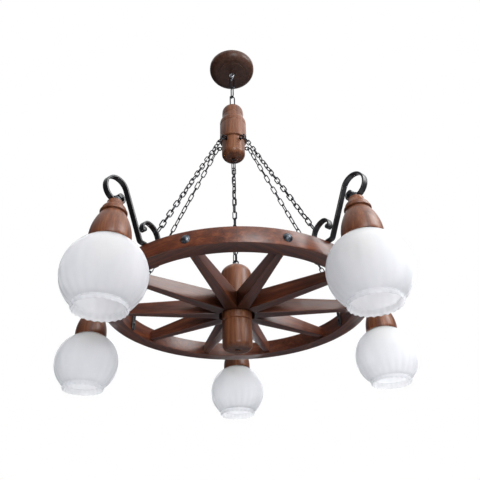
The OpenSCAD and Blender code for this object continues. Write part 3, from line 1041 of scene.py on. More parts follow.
@dataclass
class CeilingPlate(Assembly):
    """The turned canopy at the ceiling."""

    lip_r: float = 70.2
    face_r: float = 44.3
    height: float = 31.0
    lip: float = 9.0
    wall: float = 6.0
    step: float = 1.6
    ledge: float = 0.8
    bore: float = 3.3
    chamfer: Point = (1.2, 1.3)
    inner_flat: float = 34.3
    inner_reach: float = 28.9
    ease: float = 0.5

    def outline(self) -> list[Point]:
        """Draws the canopy's wall, from the bore out, up and back inside.

        Returns:
            Radius and height of each point.
        """
        start, top = self.face_r + self.ledge, -LAYOUT.seat
        deep = self.height - self.lip
        cove = quarter(start, 0, self.lip_r - start, deep - self.step, 24)
        inner = quarter(self.inner_flat, 0, self.inner_reach, deep - self.wall)
        z = -self.height
        points = [(self.bore, z), (self.face_r, z), (self.face_r, z + self.step)]
        points += [(r, -self.lip - down) for r, down in reversed(cove)]
        points += [(self.lip_r, top - self.chamfer[1]), (self.lip_r - self.chamfer[0], top)]
        points.append((inner[0][0], top))
        points += [(r, -self.lip - down) for r, down in inner]
        return points + [(self.bore, self.wall - self.height)]

    def build(self) -> None:
        """Makes the canopy."""
        obj = mesh_object("canopy", lathe(eased(self.outline(), self.ease, True, 3), 128))
        place_piece(
            obj, Matrix(), "ceiling_plate", ["ceiling_canopy"], self.shop.canopy
        )


@dataclass
class HangerBobbin(Assembly):
    """The turned bobbin that spreads the five chains."""

    top_z: float = -195.4
    shoulder: Point = (9.0, 15.0)
    barrel_r: float = 31.0
    barrel_h: float = 47.0
    barrel_groove: float = 15.0
    neck_h: float = 15.0
    neck_bias: Point = (0.55, 0.45)
    collar_r: float = 38.0
    collar_h: float = 71.0
    collar_groove: float = -10.0
    chamfer: float = 2.5
    groove: Point = (0.9, 1.0)
    low_r: float = 32.5
    low_h: float = 64.0
    tip_round: float = 15.0
    tip_rise: float = 3.0
    tip_flat: float = 19.2
    ease: float = 0.7

    def cut(self, r: float, z: float) -> list[Point]:
        """Outline of a small V groove at a radius and height, from above."""
        depth, half = self.groove
        return [(r, z + half), (r - depth, z), (r, z - half)]

    def outline(self) -> list[Point]:
        """Draws the bobbin from its top to its tip.

        Returns:
            Radius and height of each point.
        """
        barrel_z = self.top_z - self.barrel_h
        collar_z = barrel_z - self.neck_h
        step_z = collar_z - self.collar_h
        tip = step_z - self.low_h
        wide, tall = self.shoulder
        rise, (even, bent) = self.collar_r - self.barrel_r, self.neck_bias
        points: list[Point] = [(0.0, self.top_z)]
        points += reversed(quarter(self.barrel_r - wide, self.top_z - tall, wide, tall))
        points += self.cut(self.barrel_r, barrel_z + self.barrel_groove)
        points.append((self.barrel_r, barrel_z))
        for t in (i / 12 for i in range(1, 13)):
            r = self.barrel_r + rise * (1 - (1 - t) ** 2)
            points.append((r, barrel_z - self.neck_h * t * (even + bent * t)))
        points += self.cut(self.collar_r, collar_z + self.collar_groove)
        points += [(self.collar_r, step_z + self.chamfer)]
        points += [(self.collar_r - self.chamfer, step_z), (self.low_r, step_z)]
        centre = tip + self.tip_round + self.tip_rise
        points += arc(self.low_r - self.tip_round, centre, self.tip_round, 0, -82, 14)
        for t in (i / 8 for i in range(1, 9)):
            points.append((self.tip_flat * (1 - t), tip + self.tip_rise * (1 - t) ** 2))
        return points

    def build(self) -> None:
        """Makes the bobbin."""
        obj = mesh_object("bobbin", lathe(eased(self.outline(), self.ease, False, 3)))
        place_piece(obj, Matrix(), "wheel", ["hanger_bobbin"], self.shop.turned)


@dataclass
class Chains(Assembly):
    """The five suspension chains and the one in the middle.

    The lug's place in the wheel's frame, its wire and its radius come from the arms.
    """

    lug: Point
    lug_wire: float
    lug_r: float
    wire: float = 2.8
    width: float = 12.5
    pitch: float = 20.4
    eye_wire: float = 3.6
    eye_r: float = 6.0
    side_eye: Point = (41.5, -340.4)
    tip_z: float = -392.4
    tip_neck: float = 1.2
    hub_eye_z: float = 135.0
    slack: float = 7.0
    middle_turn: float = 90.0
    middle_seed: int = 9

    def hang(
        self,
        name: str,
        ends: tuple[Vector, Vector],
        count: int,
        wires: Point,
        first: float,
        seed: int,
    ) -> Piece:
        """Hangs one chain between the wires of two eyes.

        Args:
            name: The piece's name.
            ends: Inner ends of the upper and the lower eye's wire centres.
            count: Number of links.
            wires: Wire thickness of the upper and the lower eye.
            first: Turn of the chain about itself, in degrees.
            seed: Seed of the links' slack.

        Returns:
            The chain, still in its own frame.
        """
        top, low = ends
        pitch = ((low - top).length + sum(wires) / 2 + LAYOUT.seat) / count
        # The links' length is rounded to 0.02 mm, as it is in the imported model.
        length = round(50 * (pitch + 2 * self.wire + LAYOUT.seat)) / 50
        start = wires[0] / 2 + self.wire / 2 + LAYOUT.seat - (length - self.wire) / 2
        obj = self.shop.chains.apply(
            mesh_object(name, bmesh.new()),
            self.shop.chain,
            Count=count,
            Pitch=pitch,
            Start=start,
            Length=length,
            Width=self.width,
            Wire=self.wire,
            First_Turn=math.radians(first),
            Turn=math.radians(90 + 180 / (count - 1)),
            Slack=math.radians(self.slack),
            Seed=seed,
        )
        direction = (low - top).normalized()
        tilt = Vector((0, 0, -1)).rotation_difference(direction).to_matrix().to_4x4()
        obj.data.transform(Matrix.Translation(top) @ tilt)
        return obj

    def build(self) -> None:
        """Makes the six chains."""
        top = Vector((self.side_eye[0] + self.eye_r, 0, self.side_eye[1]))
        lug = Vector((self.lug[0], 0, self.lug[1] + LAYOUT.wheel_z))
        low = top + (lug - top).normalized() * ((lug - top).length - self.lug_r)
        count = 2 * round((low - top).length / self.pitch / 2)
        wires = (self.eye_wire, self.lug_wire)
        for lamp, angle in zip(LAYOUT.lamps, LAYOUT.lamp_angles):
            obj = self.hang(f"side_chain_{lamp}", (top, low), count, wires, 0.0, lamp)
            turn = Matrix.Rotation(math.radians(angle), 4, "Z")
            place_piece(obj, turn, "wheel", [f"suspension_chain_{lamp}"])
        eye = self.tip_z - self.tip_neck - self.eye_wire / 2 - 2 * self.eye_r
        top = Vector((0, 0, eye))
        low = Vector((0, 0, LAYOUT.wheel_z + self.hub_eye_z + self.eye_r))
        count = 2 * int((top.z - low.z) / self.pitch / 2) + 1
        wires = (self.eye_wire, self.eye_wire)
        obj = self.hang(
            "middle_chain", (top, low), count, wires, self.middle_turn, self.middle_seed
        )
        place_piece(obj, Matrix(), "wheel", ["centre_chain"])


@dataclass
class Wheel(Assembly):
    """Rim, spokes, hub and finial, and the bolts through the rim."""

    rim_r: float = 300.0
    rim_w: float = 35.0
    rim_h: float = 35.0
    rim_ease: float = 2.0
    spoke_near: Point = (29.6, 41.2)
    spoke_tip: Point = (14.6, 21.6)
    spoke_mid: float = 15.6
    spoke_ease: float = 0.1
    spoke_gap: float = 0.5
    taper_in: float = 4.0
    hub_r: float = 34.0
    drum_r: float = 36.0
    drum_z: float = 37.7
    hub_top: float = 100.0
    hub_chamfer: float = 1.5
    hub_ease: float = 0.9
    dome_h: float = 26.0
    hub_low: float = 20.0
    finial_r: float = 33.3
    finial_h: float = 65.0
    finial_round: float = 11.0
    finial_chamfer: float = 1.2
    finial_ease: float = 0.6
    recess: Point = (6.2, 8.0)
    bore: float = 3.3
    bolt_r: float = 9.25
    bolt_head: float = 5.0
    bolt_rim: Point = (0.4, 0.35)
    shank_r: float = 3.0
    shank_past: float = 24.0

    def rim(self) -> None:
        """Makes the rim as one turned ring with eased edges."""
        inner, outer = self.rim_r - self.rim_w, self.rim_r
        corners = [(inner, 0.0), (outer, 0.0), (outer, self.rim_h), (inner, self.rim_h)]
        obj = mesh_object("rim_ring", lathe(eased(corners, self.rim_ease, True, 4), 240))
        place_piece(obj, LAYOUT.at_wheel(), "wheel", ["rim"], self.shop.felloe)

    def spoke(self) -> Shape:
        """Shapes one spoke along X, tapered to the rim and mitred against its neighbours.

        Returns:
            The closed mesh.
        """
        inner, gap = self.rim_r - self.rim_w, self.spoke_gap
        start, far = self.hub_r - self.taper_in, inner - gap
        slope = math.tan(math.pi / LAYOUT.spokes)

        def size(x: float) -> Point:
            """Width and height of the spoke at a distance from the axle."""
            t = (x - start) / (far - start)
            return tuple(a + (b - a) * t for a, b in zip(self.spoke_near, self.spoke_tip))

        square = [(-1.0, -1.0), (1.0, -1.0), (1.0, 1.0), (-1.0, 1.0)]
        section = eased(square, self.spoke_ease, True, 3)
        bm = bmesh.new()
        near_ring, far_ring = [], []
        for across, up in section:
            near = start
            # The near end depends on the width there, which depends on the near end.
            for _ in range(6):
                y = across * size(near)[0] / 2
                hub = math.sqrt(max((self.hub_r - gap) ** 2 - y * y, 1.0))
                near = max(hub, abs(y) / slope + gap)
            width, height = size(near)
            z = self.spoke_mid + up * height / 2
            near_ring.append(bm.verts.new((near, across * width / 2, z)))
            width, height = size(far)
            y, z = across * width / 2, self.spoke_mid + up * height / 2
            far_ring.append(bm.verts.new((far - y * y / (2 * inner), y, z)))
        n = len(section)
        for i in range(n):
            j = (i + 1) % n
            bm.faces.new((near_ring[i], near_ring[j], far_ring[j], far_ring[i]))
        ends = [bm.faces.new(near_ring), bm.faces.new(far_ring)]
        bmesh.ops.triangulate(bm, faces=ends, ngon_method="EAR_CLIP")
        bmesh.ops.recalc_face_normals(bm, faces=bm.faces)
        return bm

    def spokes(self) -> None:
        """Makes the ten spokes by repeating one round the hub."""
        start = mesh_object("spoke_set", self.spoke())
        obj = self.shop.circle.apply(start, self.shop.spoke, Count=LAYOUT.spokes)
        names = [f"spoke_{i}" for i in range(1, LAYOUT.spokes + 1)]
        place_piece(obj, LAYOUT.at_wheel(), "wheel", names)

    def hub(self) -> None:
        """Makes the domed hub."""
        low, cut, drum = -self.hub_low, self.hub_chamfer, self.drum_r
        last = math.acos(self.bore / drum)
        outline = [(self.bore, low), (self.hub_r - cut, low), (self.hub_r, low + cut)]
        outline += [(self.hub_r, self.drum_z), (drum, self.drum_z)]
        for t in (i / 20 for i in range(21)):
            rise = self.dome_h * math.sin(last * t)
            outline.append((drum * math.cos(last * t), self.hub_top + rise))
        obj = mesh_object("hub", lathe(eased(outline, self.hub_ease, True, 3)))
        place, names = LAYOUT.at_wheel(), ["hub_barrel"]
        place_piece(obj, place, "wheel", names, self.shop.turned)

    def finial(self) -> None:
        """Makes the finial under the hub, with the nut's recess in its tip."""
        top, tip = -self.hub_low - LAYOUT.seat, -self.hub_low - self.finial_h
        r, soft, cut = self.finial_r, self.finial_round, self.finial_chamfer
        wide, deep = self.recess
        outline = [(self.bore, top), (r - cut, top), (r, top - cut)]
        outline += arc(r - soft, tip + soft, soft, 0, -90, 14)
        outline += [(wide, tip), (wide, tip + deep), (self.bore, tip + deep)]
        obj = mesh_object("finial", lathe(eased(outline, self.finial_ease, True, 3)))
        place, names = LAYOUT.at_wheel(), ["hub_finial"]
        place_piece(obj, place, "wheel", names, self.shop.turned)

    def bolts(self) -> None:
        """Makes the round-headed bolts by repeating one round the rim."""
        head, r, shank = self.bolt_head, self.bolt_r, self.rim_w + self.shank_past
        ball = (r * r + head * head) / 2 / head
        first = math.asin((ball - head) / ball)
        angles = [first + (math.pi / 2 - first) * i / 10 for i in range(1, 10)]
        outline = [(0.0, -shank), (self.shank_r, -shank), (self.shank_r, 0.0)]
        outline += [(r - self.bolt_rim[0], 0.0), (r, self.bolt_rim[1])]
        outline += [(ball * math.cos(a), head - ball + ball * math.sin(a)) for a in angles]
        outline.append((0.0, head))
        bm = lathe(outline, 32)
        place = Matrix.Translation((self.rim_r + LAYOUT.seat, 0, self.rim_h / 2))
        bm.transform(place @ Matrix.Rotation(math.pi / 2, 4, "Y"))
        start = mesh_object("rim_bolts", bm)
        obj = self.shop.circle.apply(start, self.shop.bolt, Count=LAYOUT.spokes)
        place_piece(obj, LAYOUT.at_wheel(), "wheel", ["spoke_bolts"])

    def build(self) -> None:
        """Makes the whole wheel."""
        self.rim()
        self.spokes()
        self.hub()
        self.finial()
        self.bolts()


@dataclass
class Arms(Assembly):
    """The five wrought arms: strap and inner scroll, foot on the rim, loop over the lamp."""

    width: float = 12.0
    thick: float = 4.0
    edge: float = 0.9
    stem_x: float = 262.6
    strap_z: float = 3.0
    foot_z: float = 37.3
    scroll_r: float = 30.0
    scroll_top: float = 88.0
    knee_x: float = 309.0
    knee_bend: float = 3.0
    knee_soft: Point = (0.5, 0.9)
    loop_x: float = 379.5
    loop_z: float = 117.0
    loop_r: float = 26.0
    curl_x: float = 370.0
    curl_r: float = 9.0
    pad_z: float = 89.0
    pad_r: Point = (5.3, 11.0)
    pad_h: float = 5.0
    pad_ease: float = 0.6
    roll_r: float = 5.0
    roll_ease: float = 1.0
    roll_in: float = 0.3
    scroll_end: float = -25.0
    scroll_roll: float = 3.0
    loop_roll: Point = (0.5, 15.0)
    lug_r: float = 5.3
    lug_wire: float = 3.2
    lug_sink: float = 1.5
    lug_at: float = 140.0

    def lug(self) -> Point:
        """Finds the small half ring on the scroll's shoulder.

        Returns:
            Its centre in the arm's own plane.
        """
        reach = self.scroll_r + self.thick / 2
        centre = (self.stem_x + self.scroll_r, self.scroll_top - self.scroll_r)
        return arc(*centre, reach, self.lug_at, self.lug_at, 1)[0]

    def scroll_line(self) -> list[Point]:
        """Draws the centre line of the strap and the inner scroll.

        Returns:
            Points of the line, out from the axle and up.
        """
        x, big, small = self.stem_x + self.scroll_r, self.scroll_r, self.scroll_r / 2
        line = [(self.stem_x, self.strap_z)] + arc(x, self.scroll_top - big, big, 180, 90, 28)
        return line + arc(x, self.scroll_top - small, small, 90, -20, 28)[1:]

    def loop_line(self) -> list[Point]:
        """Draws the centre line of the foot, the riser, the loop and its curl.

        Returns:
            Points of the line, out from the axle and up.
        """
        dx, dz = self.loop_x - self.knee_x, self.loop_z - self.foot_z
        slope = math.atan2(dz, dx) + math.asin(self.loop_r / math.hypot(dx, dz))
        bend = self.knee_bend
        line = [
            (self.stem_x, self.foot_z),
            (self.knee_x - bend, self.foot_z),
            (self.knee_x - self.knee_soft[0], self.foot_z + self.knee_soft[1]),
            (self.knee_x + bend * math.cos(slope), self.foot_z + bend * math.sin(slope)),
        ]
        line += arc(self.loop_x, self.loop_z, self.loop_r, math.degrees(slope) + 90, -90, 48)
        centre = self.pad_z + self.thick / 2 + self.curl_r
        return line + arc(self.curl_x, centre, self.curl_r, -90, -270, 24)

    def bar(self, name: str, line: list[Point]) -> Piece:
        """Bends one length of bar along a line in the arm's own plane.

        Args:
            name: The bar's name.
            line: The bar's centre line.

        Returns:
            The bar, lying in the XY plane.
        """
        curve = bpy.data.curves.new(name, "CURVE")
        curve.dimensions = "3D"
        spline = curve.splines.new("POLY")
        spline.points.add(len(line) - 1)
        for point, (x, z) in zip(spline.points, line):
            point.co = (x, z, 0, 1)
        obj = bpy.data.objects.new(name, curve)
        bpy.context.scene.collection.objects.link(obj)
        return self.shop.bar.apply(
            obj, self.shop.iron, Thickness=self.thick, Width=self.width, Edge=self.edge
        )

    def extras(self) -> Shape:
        """Shapes the rolled ends, the pad under the loop and the chain's lug.

        Returns:
            One mesh of them all.
        """
        bm = bmesh.new()
        small = self.scroll_r / 2
        x, z = self.stem_x + self.scroll_r, self.scroll_top - small
        out, up = self.loop_roll
        half, end = self.width / 2 - self.roll_in, self.scroll_end
        turn = Matrix.Rotation(math.pi / 2, 4, "X")
        rolls = arc(x, z, small - self.scroll_roll, end, end, 1)[:1]
        rolls.append((self.curl_x + out, self.pad_z + self.thick / 2 + up))
        for x, z in rolls:
            outline = [(0.0, -half), (self.roll_r, -half), (self.roll_r, half), (0.0, half)]
            roll = lathe(eased(outline, self.roll_ease, False, 3), 32)
            join(bm, roll, Matrix.Translation((x, 0, z)) @ turn)
        hole, rim = self.pad_r
        pad = [(hole, 0.0), (rim, 0.0), (rim, self.pad_h), (hole, self.pad_h)]
        place = Matrix.Translation((LAYOUT.lamp_circle, 0, self.pad_z))
        join(bm, lathe(eased(pad, self.pad_ease, True, 3), 48), place)
        join(bm, self.half_ring(), Matrix())
        return bm

    def half_ring(self) -> Shape:
        """Shapes the lug: half a ring of wire that stands on the scroll's shoulder.

        Returns:
            The closed mesh.
        """
        bm = bmesh.new()
        around, along = 12, 18
        reach, sink = self.lug_r + self.lug_sink, self.lug_sink
        rings = []
        for a in (math.pi * i / along for i in range(along + 1)):
            centre = Vector((reach * math.cos(a), 0, reach * math.sin(a) - sink))
            ring = []
            for b in (2 * math.pi * k / around for k in range(around)):
                out = Vector((math.cos(a), 0, math.sin(a))) * math.cos(b)
                side = Vector((0, 1, 0)) * math.sin(b)
                ring.append(bm.verts.new(centre + (out + side) * self.lug_wire / 2))
            rings.append(ring)
        for low, high in zip(rings, rings[1:]):
            for k in range(around):
                j = (k + 1) % around
                bm.faces.new((low[k], low[j], high[j], high[k]))
        bm.faces.new(rings[0])
        bm.faces.new(rings[-1])
        bmesh.ops.recalc_face_normals(bm, faces=bm.faces)
        x, z = self.lug()
        turn = Matrix.Rotation(math.radians(90 - self.lug_at), 4, "Y")
        bm.transform(Matrix.Translation((x, 0, z)) @ turn)
        return bm

    def build(self) -> None:
        """Makes the five arms, each one mesh of its bars and its fittings."""
        stand = Matrix.Rotation(math.pi / 2, 4, "X")
        for lamp, angle in zip(LAYOUT.lamps, LAYOUT.lamp_angles):
            bars = [
                self.bar("scroll_bar", self.scroll_line()),
                self.bar("loop_bar", self.loop_line()),
            ]
            bm = self.extras()
            for bar in bars:
                bar.data.transform(stand)
                bm.from_mesh(bar.data)
                bpy.data.objects.remove(bar)
            obj = mesh_object(f"wrought_arm_{lamp}", bm)
            place, names = LAYOUT.at_wheel(angle), [f"arm_{lamp}"]
            place_piece(obj, place, "wheel", names, self.shop.iron, crease=30)


@dataclass
class Cups(Assembly):
    """The turned wooden cups over the lampholders."""

    mouth_r: float = 37.5
    mouth_ease: Point = (0.8, 3.0)
    bottom: float = 0.5
    height: float = 88.2
    bell_low: float = 6.0
    bell_short: float = 1.5
    bell_power: float = 2.05
    waist: float = 22.8
    groove_r: float = 21.0
    groove_at: float = 0.67
    groove_ends: Point = (-0.8, 0.6)
    collar_r: float = 25.0
    collar_h: float = 3.6
    collar_up: float = 1.6
    cap_up: float = 1.0
    cap_short: float = 2.0
    cap_r: float = 22.4
    cap_in: float = 7.8
    cap_swell: float = 1.5
    top_r: float = 12.8
    bore: float = 5.3
    hollow_r: float = 20.6
    hollow_top: float = 50.1
    hollow_h: float = 14.0
    inner_r: float = 24.3
    wall: float = 4.0
    inner_power: float = 1.3
    ease: float = 0.8

    def outline(self) -> list[Point]:
        """Draws a cup's wall from its mouth over the cap and down the inside.

        Returns:
            Radius and height of each point.
        """
        z0, top = self.bottom, self.bottom + self.height
        groove = z0 + self.groove_at * self.height
        collar, bell_z = groove + self.collar_up, z0 + self.bell_low
        cap, ledge = collar + self.collar_h + self.cap_up, self.hollow_top - self.hollow_h
        bell_h, cap_h = groove - self.bell_short - bell_z, top - self.cap_short - cap
        soft, rise = self.mouth_ease
        points: list[Point] = [(self.mouth_r - soft, z0), (self.mouth_r, z0 + rise)]
        for t in (i / 20 for i in range(21)):
            r = self.mouth_r - (self.mouth_r - self.waist) * t**self.bell_power
            points.append((r, bell_z + bell_h * t))
        points += [(self.groove_r, groove + end) for end in self.groove_ends]
        points += [(self.collar_r, collar), (self.collar_r, collar + self.collar_h)]
        for t in (i / 14 for i in range(15)):
            swell = self.cap_swell * math.sin(2 * math.pi * t)
            points.append((self.cap_r - self.cap_in * t + swell, cap + cap_h * t))
        points += [(self.top_r, top), (self.bore, top), (self.bore, self.hollow_top)]
        points += [(self.hollow_r, self.hollow_top), (self.hollow_r, ledge)]
        flare = self.mouth_r - self.wall - self.inner_r
        for t in (i / 10 for i in range(10, -1, -1)):
            r = self.inner_r + flare * (1 - t) ** self.inner_power
            points.append((r, z0 + (ledge - z0) * t))
        return points

    def build(self) -> None:
        """Makes the five cups."""
        for lamp in LAYOUT.lamps:
            bm = lathe(eased(self.outline(), self.ease, True, 3))
            obj = mesh_object(f"turned_cup_{lamp}", bm)
            place, names = LAYOUT.at_lamp(lamp), [f"cup_{lamp}"]
            place_piece(obj, place, "wheel", names, self.shop.turned)


@dataclass
class Globes(Assembly):
    """The five opal globes, fluted towards their scalloped mouths."""

    r: float = 73.4
    glass: float = 3.0
    top: float = 3.5
    fitter_r: float = 21.0
    lip_r: float = 25.8
    lip_in: float = 25.2
    neck_r: float = 44.5
    bend_x: float = 0.335
    bend: float = 12.0
    # The mouth, as offsets from the neck's radius and the bend's lower end: the neck's outside,
    # the bead's centre and radius, the lip under it, and the same way inside.
    neck_line: tuple[Point, ...] = ((0.0, -0.8), (0.0, -2.2))
    bead: Place = (-0.9, -6.2, 3.6)
    lip: tuple[Point, ...] = ((1.6, -9.6), (0.9, -10.6))
    inside: tuple[Point, ...] = (
        (-3.0, 1.2),
        (-3.0, -3.0),
        (-0.6, -5.4),
        (-0.6, -7.4),
        (-0.6, -10.2),
    )
    flutes: int = 24
    # Where the flutes start and how far they deepen, in radii of the ball, and how fast.
    flute_run: Place = (0.55, 1.1, 1.2)
    flute_depth: float = 0.4
    scallop_depth: float = 0.6
    scallop_h: float = 6.0
    steps_per_flute: int = 10

    def outline(self) -> list[tuple[float, float, float, float]]:
        """Draws the glass, with how deep the flutes and the scallops press each point.

        Returns:
            Radius, height, flute depth and scallop depth of each point, round the glass.
        """
        r, glass, neck = self.r, self.glass, self.neck_r
        centre = self.top - math.sqrt(r**2 - self.lip_r**2)
        bx = neck + self.bend_x
        turn = math.acos(bx / (r - self.bend))
        bz = centre - (r - self.bend) * math.sin(turn)
        low, end_turn = bz - self.bend, -math.degrees(turn)
        start = math.degrees(math.acos(self.lip_r / r))
        start_in = math.degrees(math.acos(self.lip_in / (r - glass)))
        bead_x, bead_z, bead_r = self.bead
        outer = arc(0, centre, r, start, end_turn, 48)
        outer += arc(bx, bz, self.bend, end_turn, -80, 6)[1:]
        outer += [(neck + out, low + up) for out, up in self.neck_line]
        outer += arc(neck + bead_x, low + bead_z, bead_r, 45, -30, 8)
        outer += [(neck + out, low + up) for out, up in self.lip]
        inner = arc(0, centre, r - glass, start_in, end_turn, 48)
        inner += arc(bx, bz, self.bend - glass, end_turn, -70, 5)[1:]
        inner += [(neck + out, low + up) for out, up in self.inside]
        end = outer[-1][1]

        def depths(z: float) -> Point:
            """Says how deep flutes and scallops press a point.

            Args:
                z: The point's height.

            Returns:
                Shares of the flutes' and of the scallops' depth, from 0 to 1.
            """
            first, reach, power = self.flute_run
            down = (centre + r * first - z) / (r * reach)
            press = 0.0 if down < 0 else min(1.0, down) ** power
            return press, max(0.0, 1 - (z - end) / self.scallop_h)

        points = [(self.fitter_r, self.top)] + outer + list(reversed(inner))
        points += [(self.fitter_r, self.top - glass)]
        return [(x, z, *depths(z)) for x, z in points]

    def shell(self, name: str) -> Piece:
        """Turns the glass and gives its points their press and edge attributes.

        Args:
            name: The globe's name.

        Returns:
            The plain turned globe.
        """
        outline = self.outline()
        steps = self.flutes * self.steps_per_flute
        obj = mesh_object(name, lathe([row[:2] for row in outline], steps))
        for key, place in (("press", 2), ("edge", 3)):
            values = [row[place] for row in outline for _ in range(steps)]
            obj.data.attributes.new(key, "FLOAT", "POINT").data.foreach_set("value", values)
        return obj

    def build(self) -> None:
        """Makes the five globes, each on its own turning body."""
        for lamp in LAYOUT.lamps:
            obj = self.shop.flutes.apply(
                self.shell(f"opal_globe_{lamp}"),
                self.shop.opal,
                Flutes=self.flutes,
                Depth=self.flute_depth,
                Scallop=self.scallop_depth,
            )
            place, names = LAYOUT.at_lamp(lamp), [f"globe_{lamp}"]
            place_piece(obj, place, f"shade_{lamp}", names, crease=60)


@dataclass
class CadFinishes(Assembly):
    """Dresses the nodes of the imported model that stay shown."""

    def by_node(self) -> dict[str, Material]:
        """Lists the finish of each node.

        Returns:
            The material of each node that stays shown, by the node's name.
        """
        links = ("top_link_upper", "top_link_middle", "top_link_lower")
        eyes = ("bobbin_top_eye", "chain_eyes", "hub_eye_bolt", "hub_nut")
        holders = [f"{kind}_{i}" for i in LAYOUT.lamps for kind in ("lampholder", "shade_ring")]
        groups = (
            (self.shop.zinc, ("mounting_bracket", "ceiling_hook", "hook_nuts")),
            (self.shop.block, ("terminal_block",)),
            (self.shop.chain, links + eyes),
            (self.shop.iron, ("arm_screws",)),
            (self.shop.bolt, ("lamp_bolts",)),
            (self.shop.holder, holders),
        )
        return {name: material for material, names in groups for name in names}

    def build(self) -> None:
        """Puts the finishes on, and reports any node that is left without one."""
        finishes = self.by_node()
        for name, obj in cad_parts.items():
            if obj.hide_render:
                continue
            material = finishes.get(name)
            if material is None:
                log.warning("%s has no finish of its own", name)
                continue
            obj.data.materials.clear()
            obj.data.materials.append(material)
            log.info("%s: %s", name, material.name)


# ------------------------------------------------------------------ studio


@dataclass(frozen=True)
class SoftBox:
    """A square soft box: where it hangs and its side in metres, and its power in watts."""

    name: str
    place: Place
    side: float
    power: float


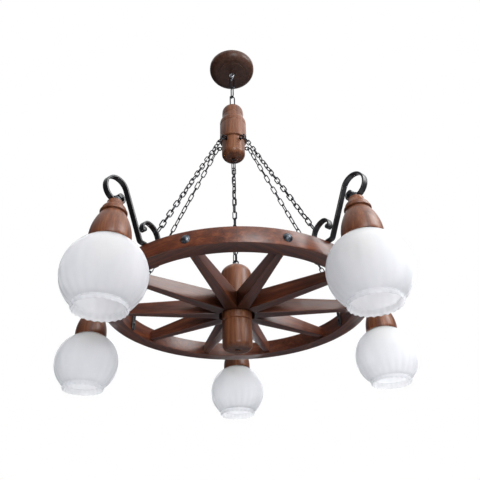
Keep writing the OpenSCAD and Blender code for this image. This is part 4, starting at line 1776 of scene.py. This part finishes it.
@dataclass
class Studio:
    """A white room with soft lamps, and the camera below the wheel looking up at it.

    The camera's place, its turns in radians and its focal length in pixels of the photograph
    were fitted to the photograph. Places are in metres.
    """

    eye: Place = (0.0046, -1.0276, -1.337)
    yaw: float = 0.00688
    pitch: float = 0.58054
    roll: float = -0.02745
    turn: float = -0.01335
    focal: float = 493.06
    sensor: float = 36.0
    floor_z: float = -2.6
    floor_r: float = 45.0
    aim: Place = (0.0, 0.0, -0.75)
    boxes: tuple[SoftBox, ...] = (
        SoftBox("window", (1.58, -0.84, 0.28), 1.05, 33.0),
        SoftBox("front", (0.6, -2.5, 0.15), 0.8, 20.0),
        SoftBox("level", (0.5, -2.5, -1.05), 0.6, 27.0),
        SoftBox("back", (0.4, 2.6, 0.3), 1.8, 4.0),
    )
    # What glossy surfaces mirror, from straight below to straight above.
    mirrored: tuple[tuple[float, str], ...] = (
        (0.10, "#bcbcc0"),
        (0.18, "#9a9aa0"),
        (0.24, "#65656a"),
        (0.33, "#46464a"),
        (0.50, "#46464a"),
        (0.62, "#66666a"),
        (0.79, "#64646a"),
        (0.85, "#f4f6f8"),
    )

    def camera(self) -> None:
        """Makes the camera from where it stands and where it looks."""
        level = Vector((math.cos(self.yaw), -math.sin(self.yaw), 0))
        ahead = Vector((math.sin(self.yaw), math.cos(self.yaw), 0))
        forward = ahead * math.cos(self.pitch) + Vector((0, 0, math.sin(self.pitch)))
        above = level.cross(forward)
        c, s = math.cos(self.roll), math.sin(self.roll)
        right, up = c * level + s * above, c * above - s * level
        axes = Matrix((right, up, -forward)).transposed().to_4x4()
        data = bpy.data.cameras.new("photo_camera")
        data.sensor_width = self.sensor
        data.lens = self.focal / PHOTO_WIDTH * self.sensor
        data.clip_start, data.clip_end = 0.05, 50.0
        camera = bpy.data.objects.new("photo_camera", data)
        bpy.context.scene.collection.objects.link(camera)
        place = Matrix.Rotation(self.turn, 4, "Z") @ Matrix.Translation(self.eye)
        camera.matrix_world = place @ axes
        bpy.context.scene.camera = camera

    def room(self) -> None:
        """Makes the world: plain white to look at, and dimmer below and on the left as light."""
        world = bpy.data.worlds.new("studio_world")
        world.use_nodes = True
        tree = world.node_tree
        tree.nodes.clear()
        path = add(tree, "ShaderNodeLightPath")
        seen = add(
            tree,
            "ShaderNodeMath",
            {0: path.outputs["Is Camera Ray"], 1: path.outputs["Is Transmission Ray"]},
            operation="MAXIMUM",
        )
        way = add(tree, "ShaderNodeTexCoord").outputs["Generated"]
        across, _, height = add(tree, "ShaderNodeSeparateXYZ", {0: way}).outputs
        daylight = add(
            tree,
            "ShaderNodeMapRange",
            {"Value": height, "From Min": -0.6, "From Max": 0.6, "To Min": 0.18, "To Max": 0.7},
        )
        aside = add(
            tree,
            "ShaderNodeMapRange",
            {"Value": across, "From Min": -1.0, "From Max": 1.0, "To Min": 0.55, "To Max": 1.15},
        )
        diffused = add(tree, "ShaderNodeMath", {0: daylight, 1: aside}, operation="MULTIPLY")
        beside = add(
            tree,
            "ShaderNodeMapRange",
            {"Value": across, "From Min": -0.8, "From Max": 0.4, "To Min": 0.6, "To Max": 1.9},
        )
        share = add(
            tree, "ShaderNodeMapRange", {"Value": height, "From Min": -1.0, "From Max": 1.0}
        )
        skies = (
            {"Color": linear("#f4f6f8"), "Strength": diffused},
            {"Color": ramp(tree, share, self.mirrored), "Strength": beside},
            {"Color": linear("#ffffff"), "Strength": 1.0},
        )
        soft, glossy, white = (add(tree, "ShaderNodeBackground", sky) for sky in skies)
        shiny = add(
            tree,
            "ShaderNodeMixShader",
            {0: path.outputs["Is Glossy Ray"], 1: soft, 2: glossy},
        )
        both = add(tree, "ShaderNodeMixShader", {0: seen, 1: shiny, 2: white})
        add(tree, "ShaderNodeOutputWorld", {"Surface": both})
        bpy.context.scene.world = world

    def floor(self) -> None:
        """Lays a plain pale floor at a room's depth under the ceiling.

        Only the camera sees it. It carries the object's shadow, but throws no light back up.
        """
        material, shader = blank_material("pale_floor_paint")
        paint = {"Base Color": linear("#f4f4f4"), "Roughness": 0.9}
        feed(shader, paint | {"Emission Color": linear("#ffffff"), "Emission Strength": 0.4})
        bm = bmesh.new()
        bmesh.ops.create_circle(bm, cap_ends=True, segments=96, radius=self.floor_r)
        bm.transform(Matrix.Translation((0, 0, self.floor_z)))
        floor = mesh_object("studio_floor", bm)
        floor.data.materials.append(material)
        floor.visible_diffuse = floor.visible_glossy = False
        floor.visible_transmission = floor.visible_shadow = False

    def lamp(self, box: SoftBox) -> None:
        """Hangs one soft box that faces the wheel.

        Args:
            box: The box.
        """
        data = bpy.data.lights.new(box.name, "AREA")
        data.shape = "SQUARE"
        data.size = box.side
        data.energy = box.power
        light = bpy.data.objects.new(box.name, data)
        bpy.context.scene.collection.objects.link(light)
        light.location = box.place
        way = Vector(self.aim) - Vector(box.place)
        light.rotation_euler = way.to_track_quat("-Z", "Y").to_euler()

    def build(self) -> None:
        """Sets up the camera, the room, the floor and the lamps."""
        self.camera()
        self.room()
        self.floor()
        for box in self.boxes:
            self.lamp(box)
        bpy.context.scene.view_settings.view_transform = "Standard"
        log.info("studio ready")


def main() -> None:
    """Builds the studio and every sub-assembly."""
    Studio().build()
    shop = Workshop()
    arms = Arms(shop)
    assemblies: list[Assembly] = [
        CeilingPlate(shop),
        HangerBobbin(shop),
        Chains(shop, arms.lug(), arms.lug_wire, arms.lug_r),
        Wheel(shop),
        arms,
        Cups(shop),
        Globes(shop),
        CadFinishes(shop),
    ]
    for assembly in assemblies:
        assembly.build()


if __name__ == "__main__":
    main()
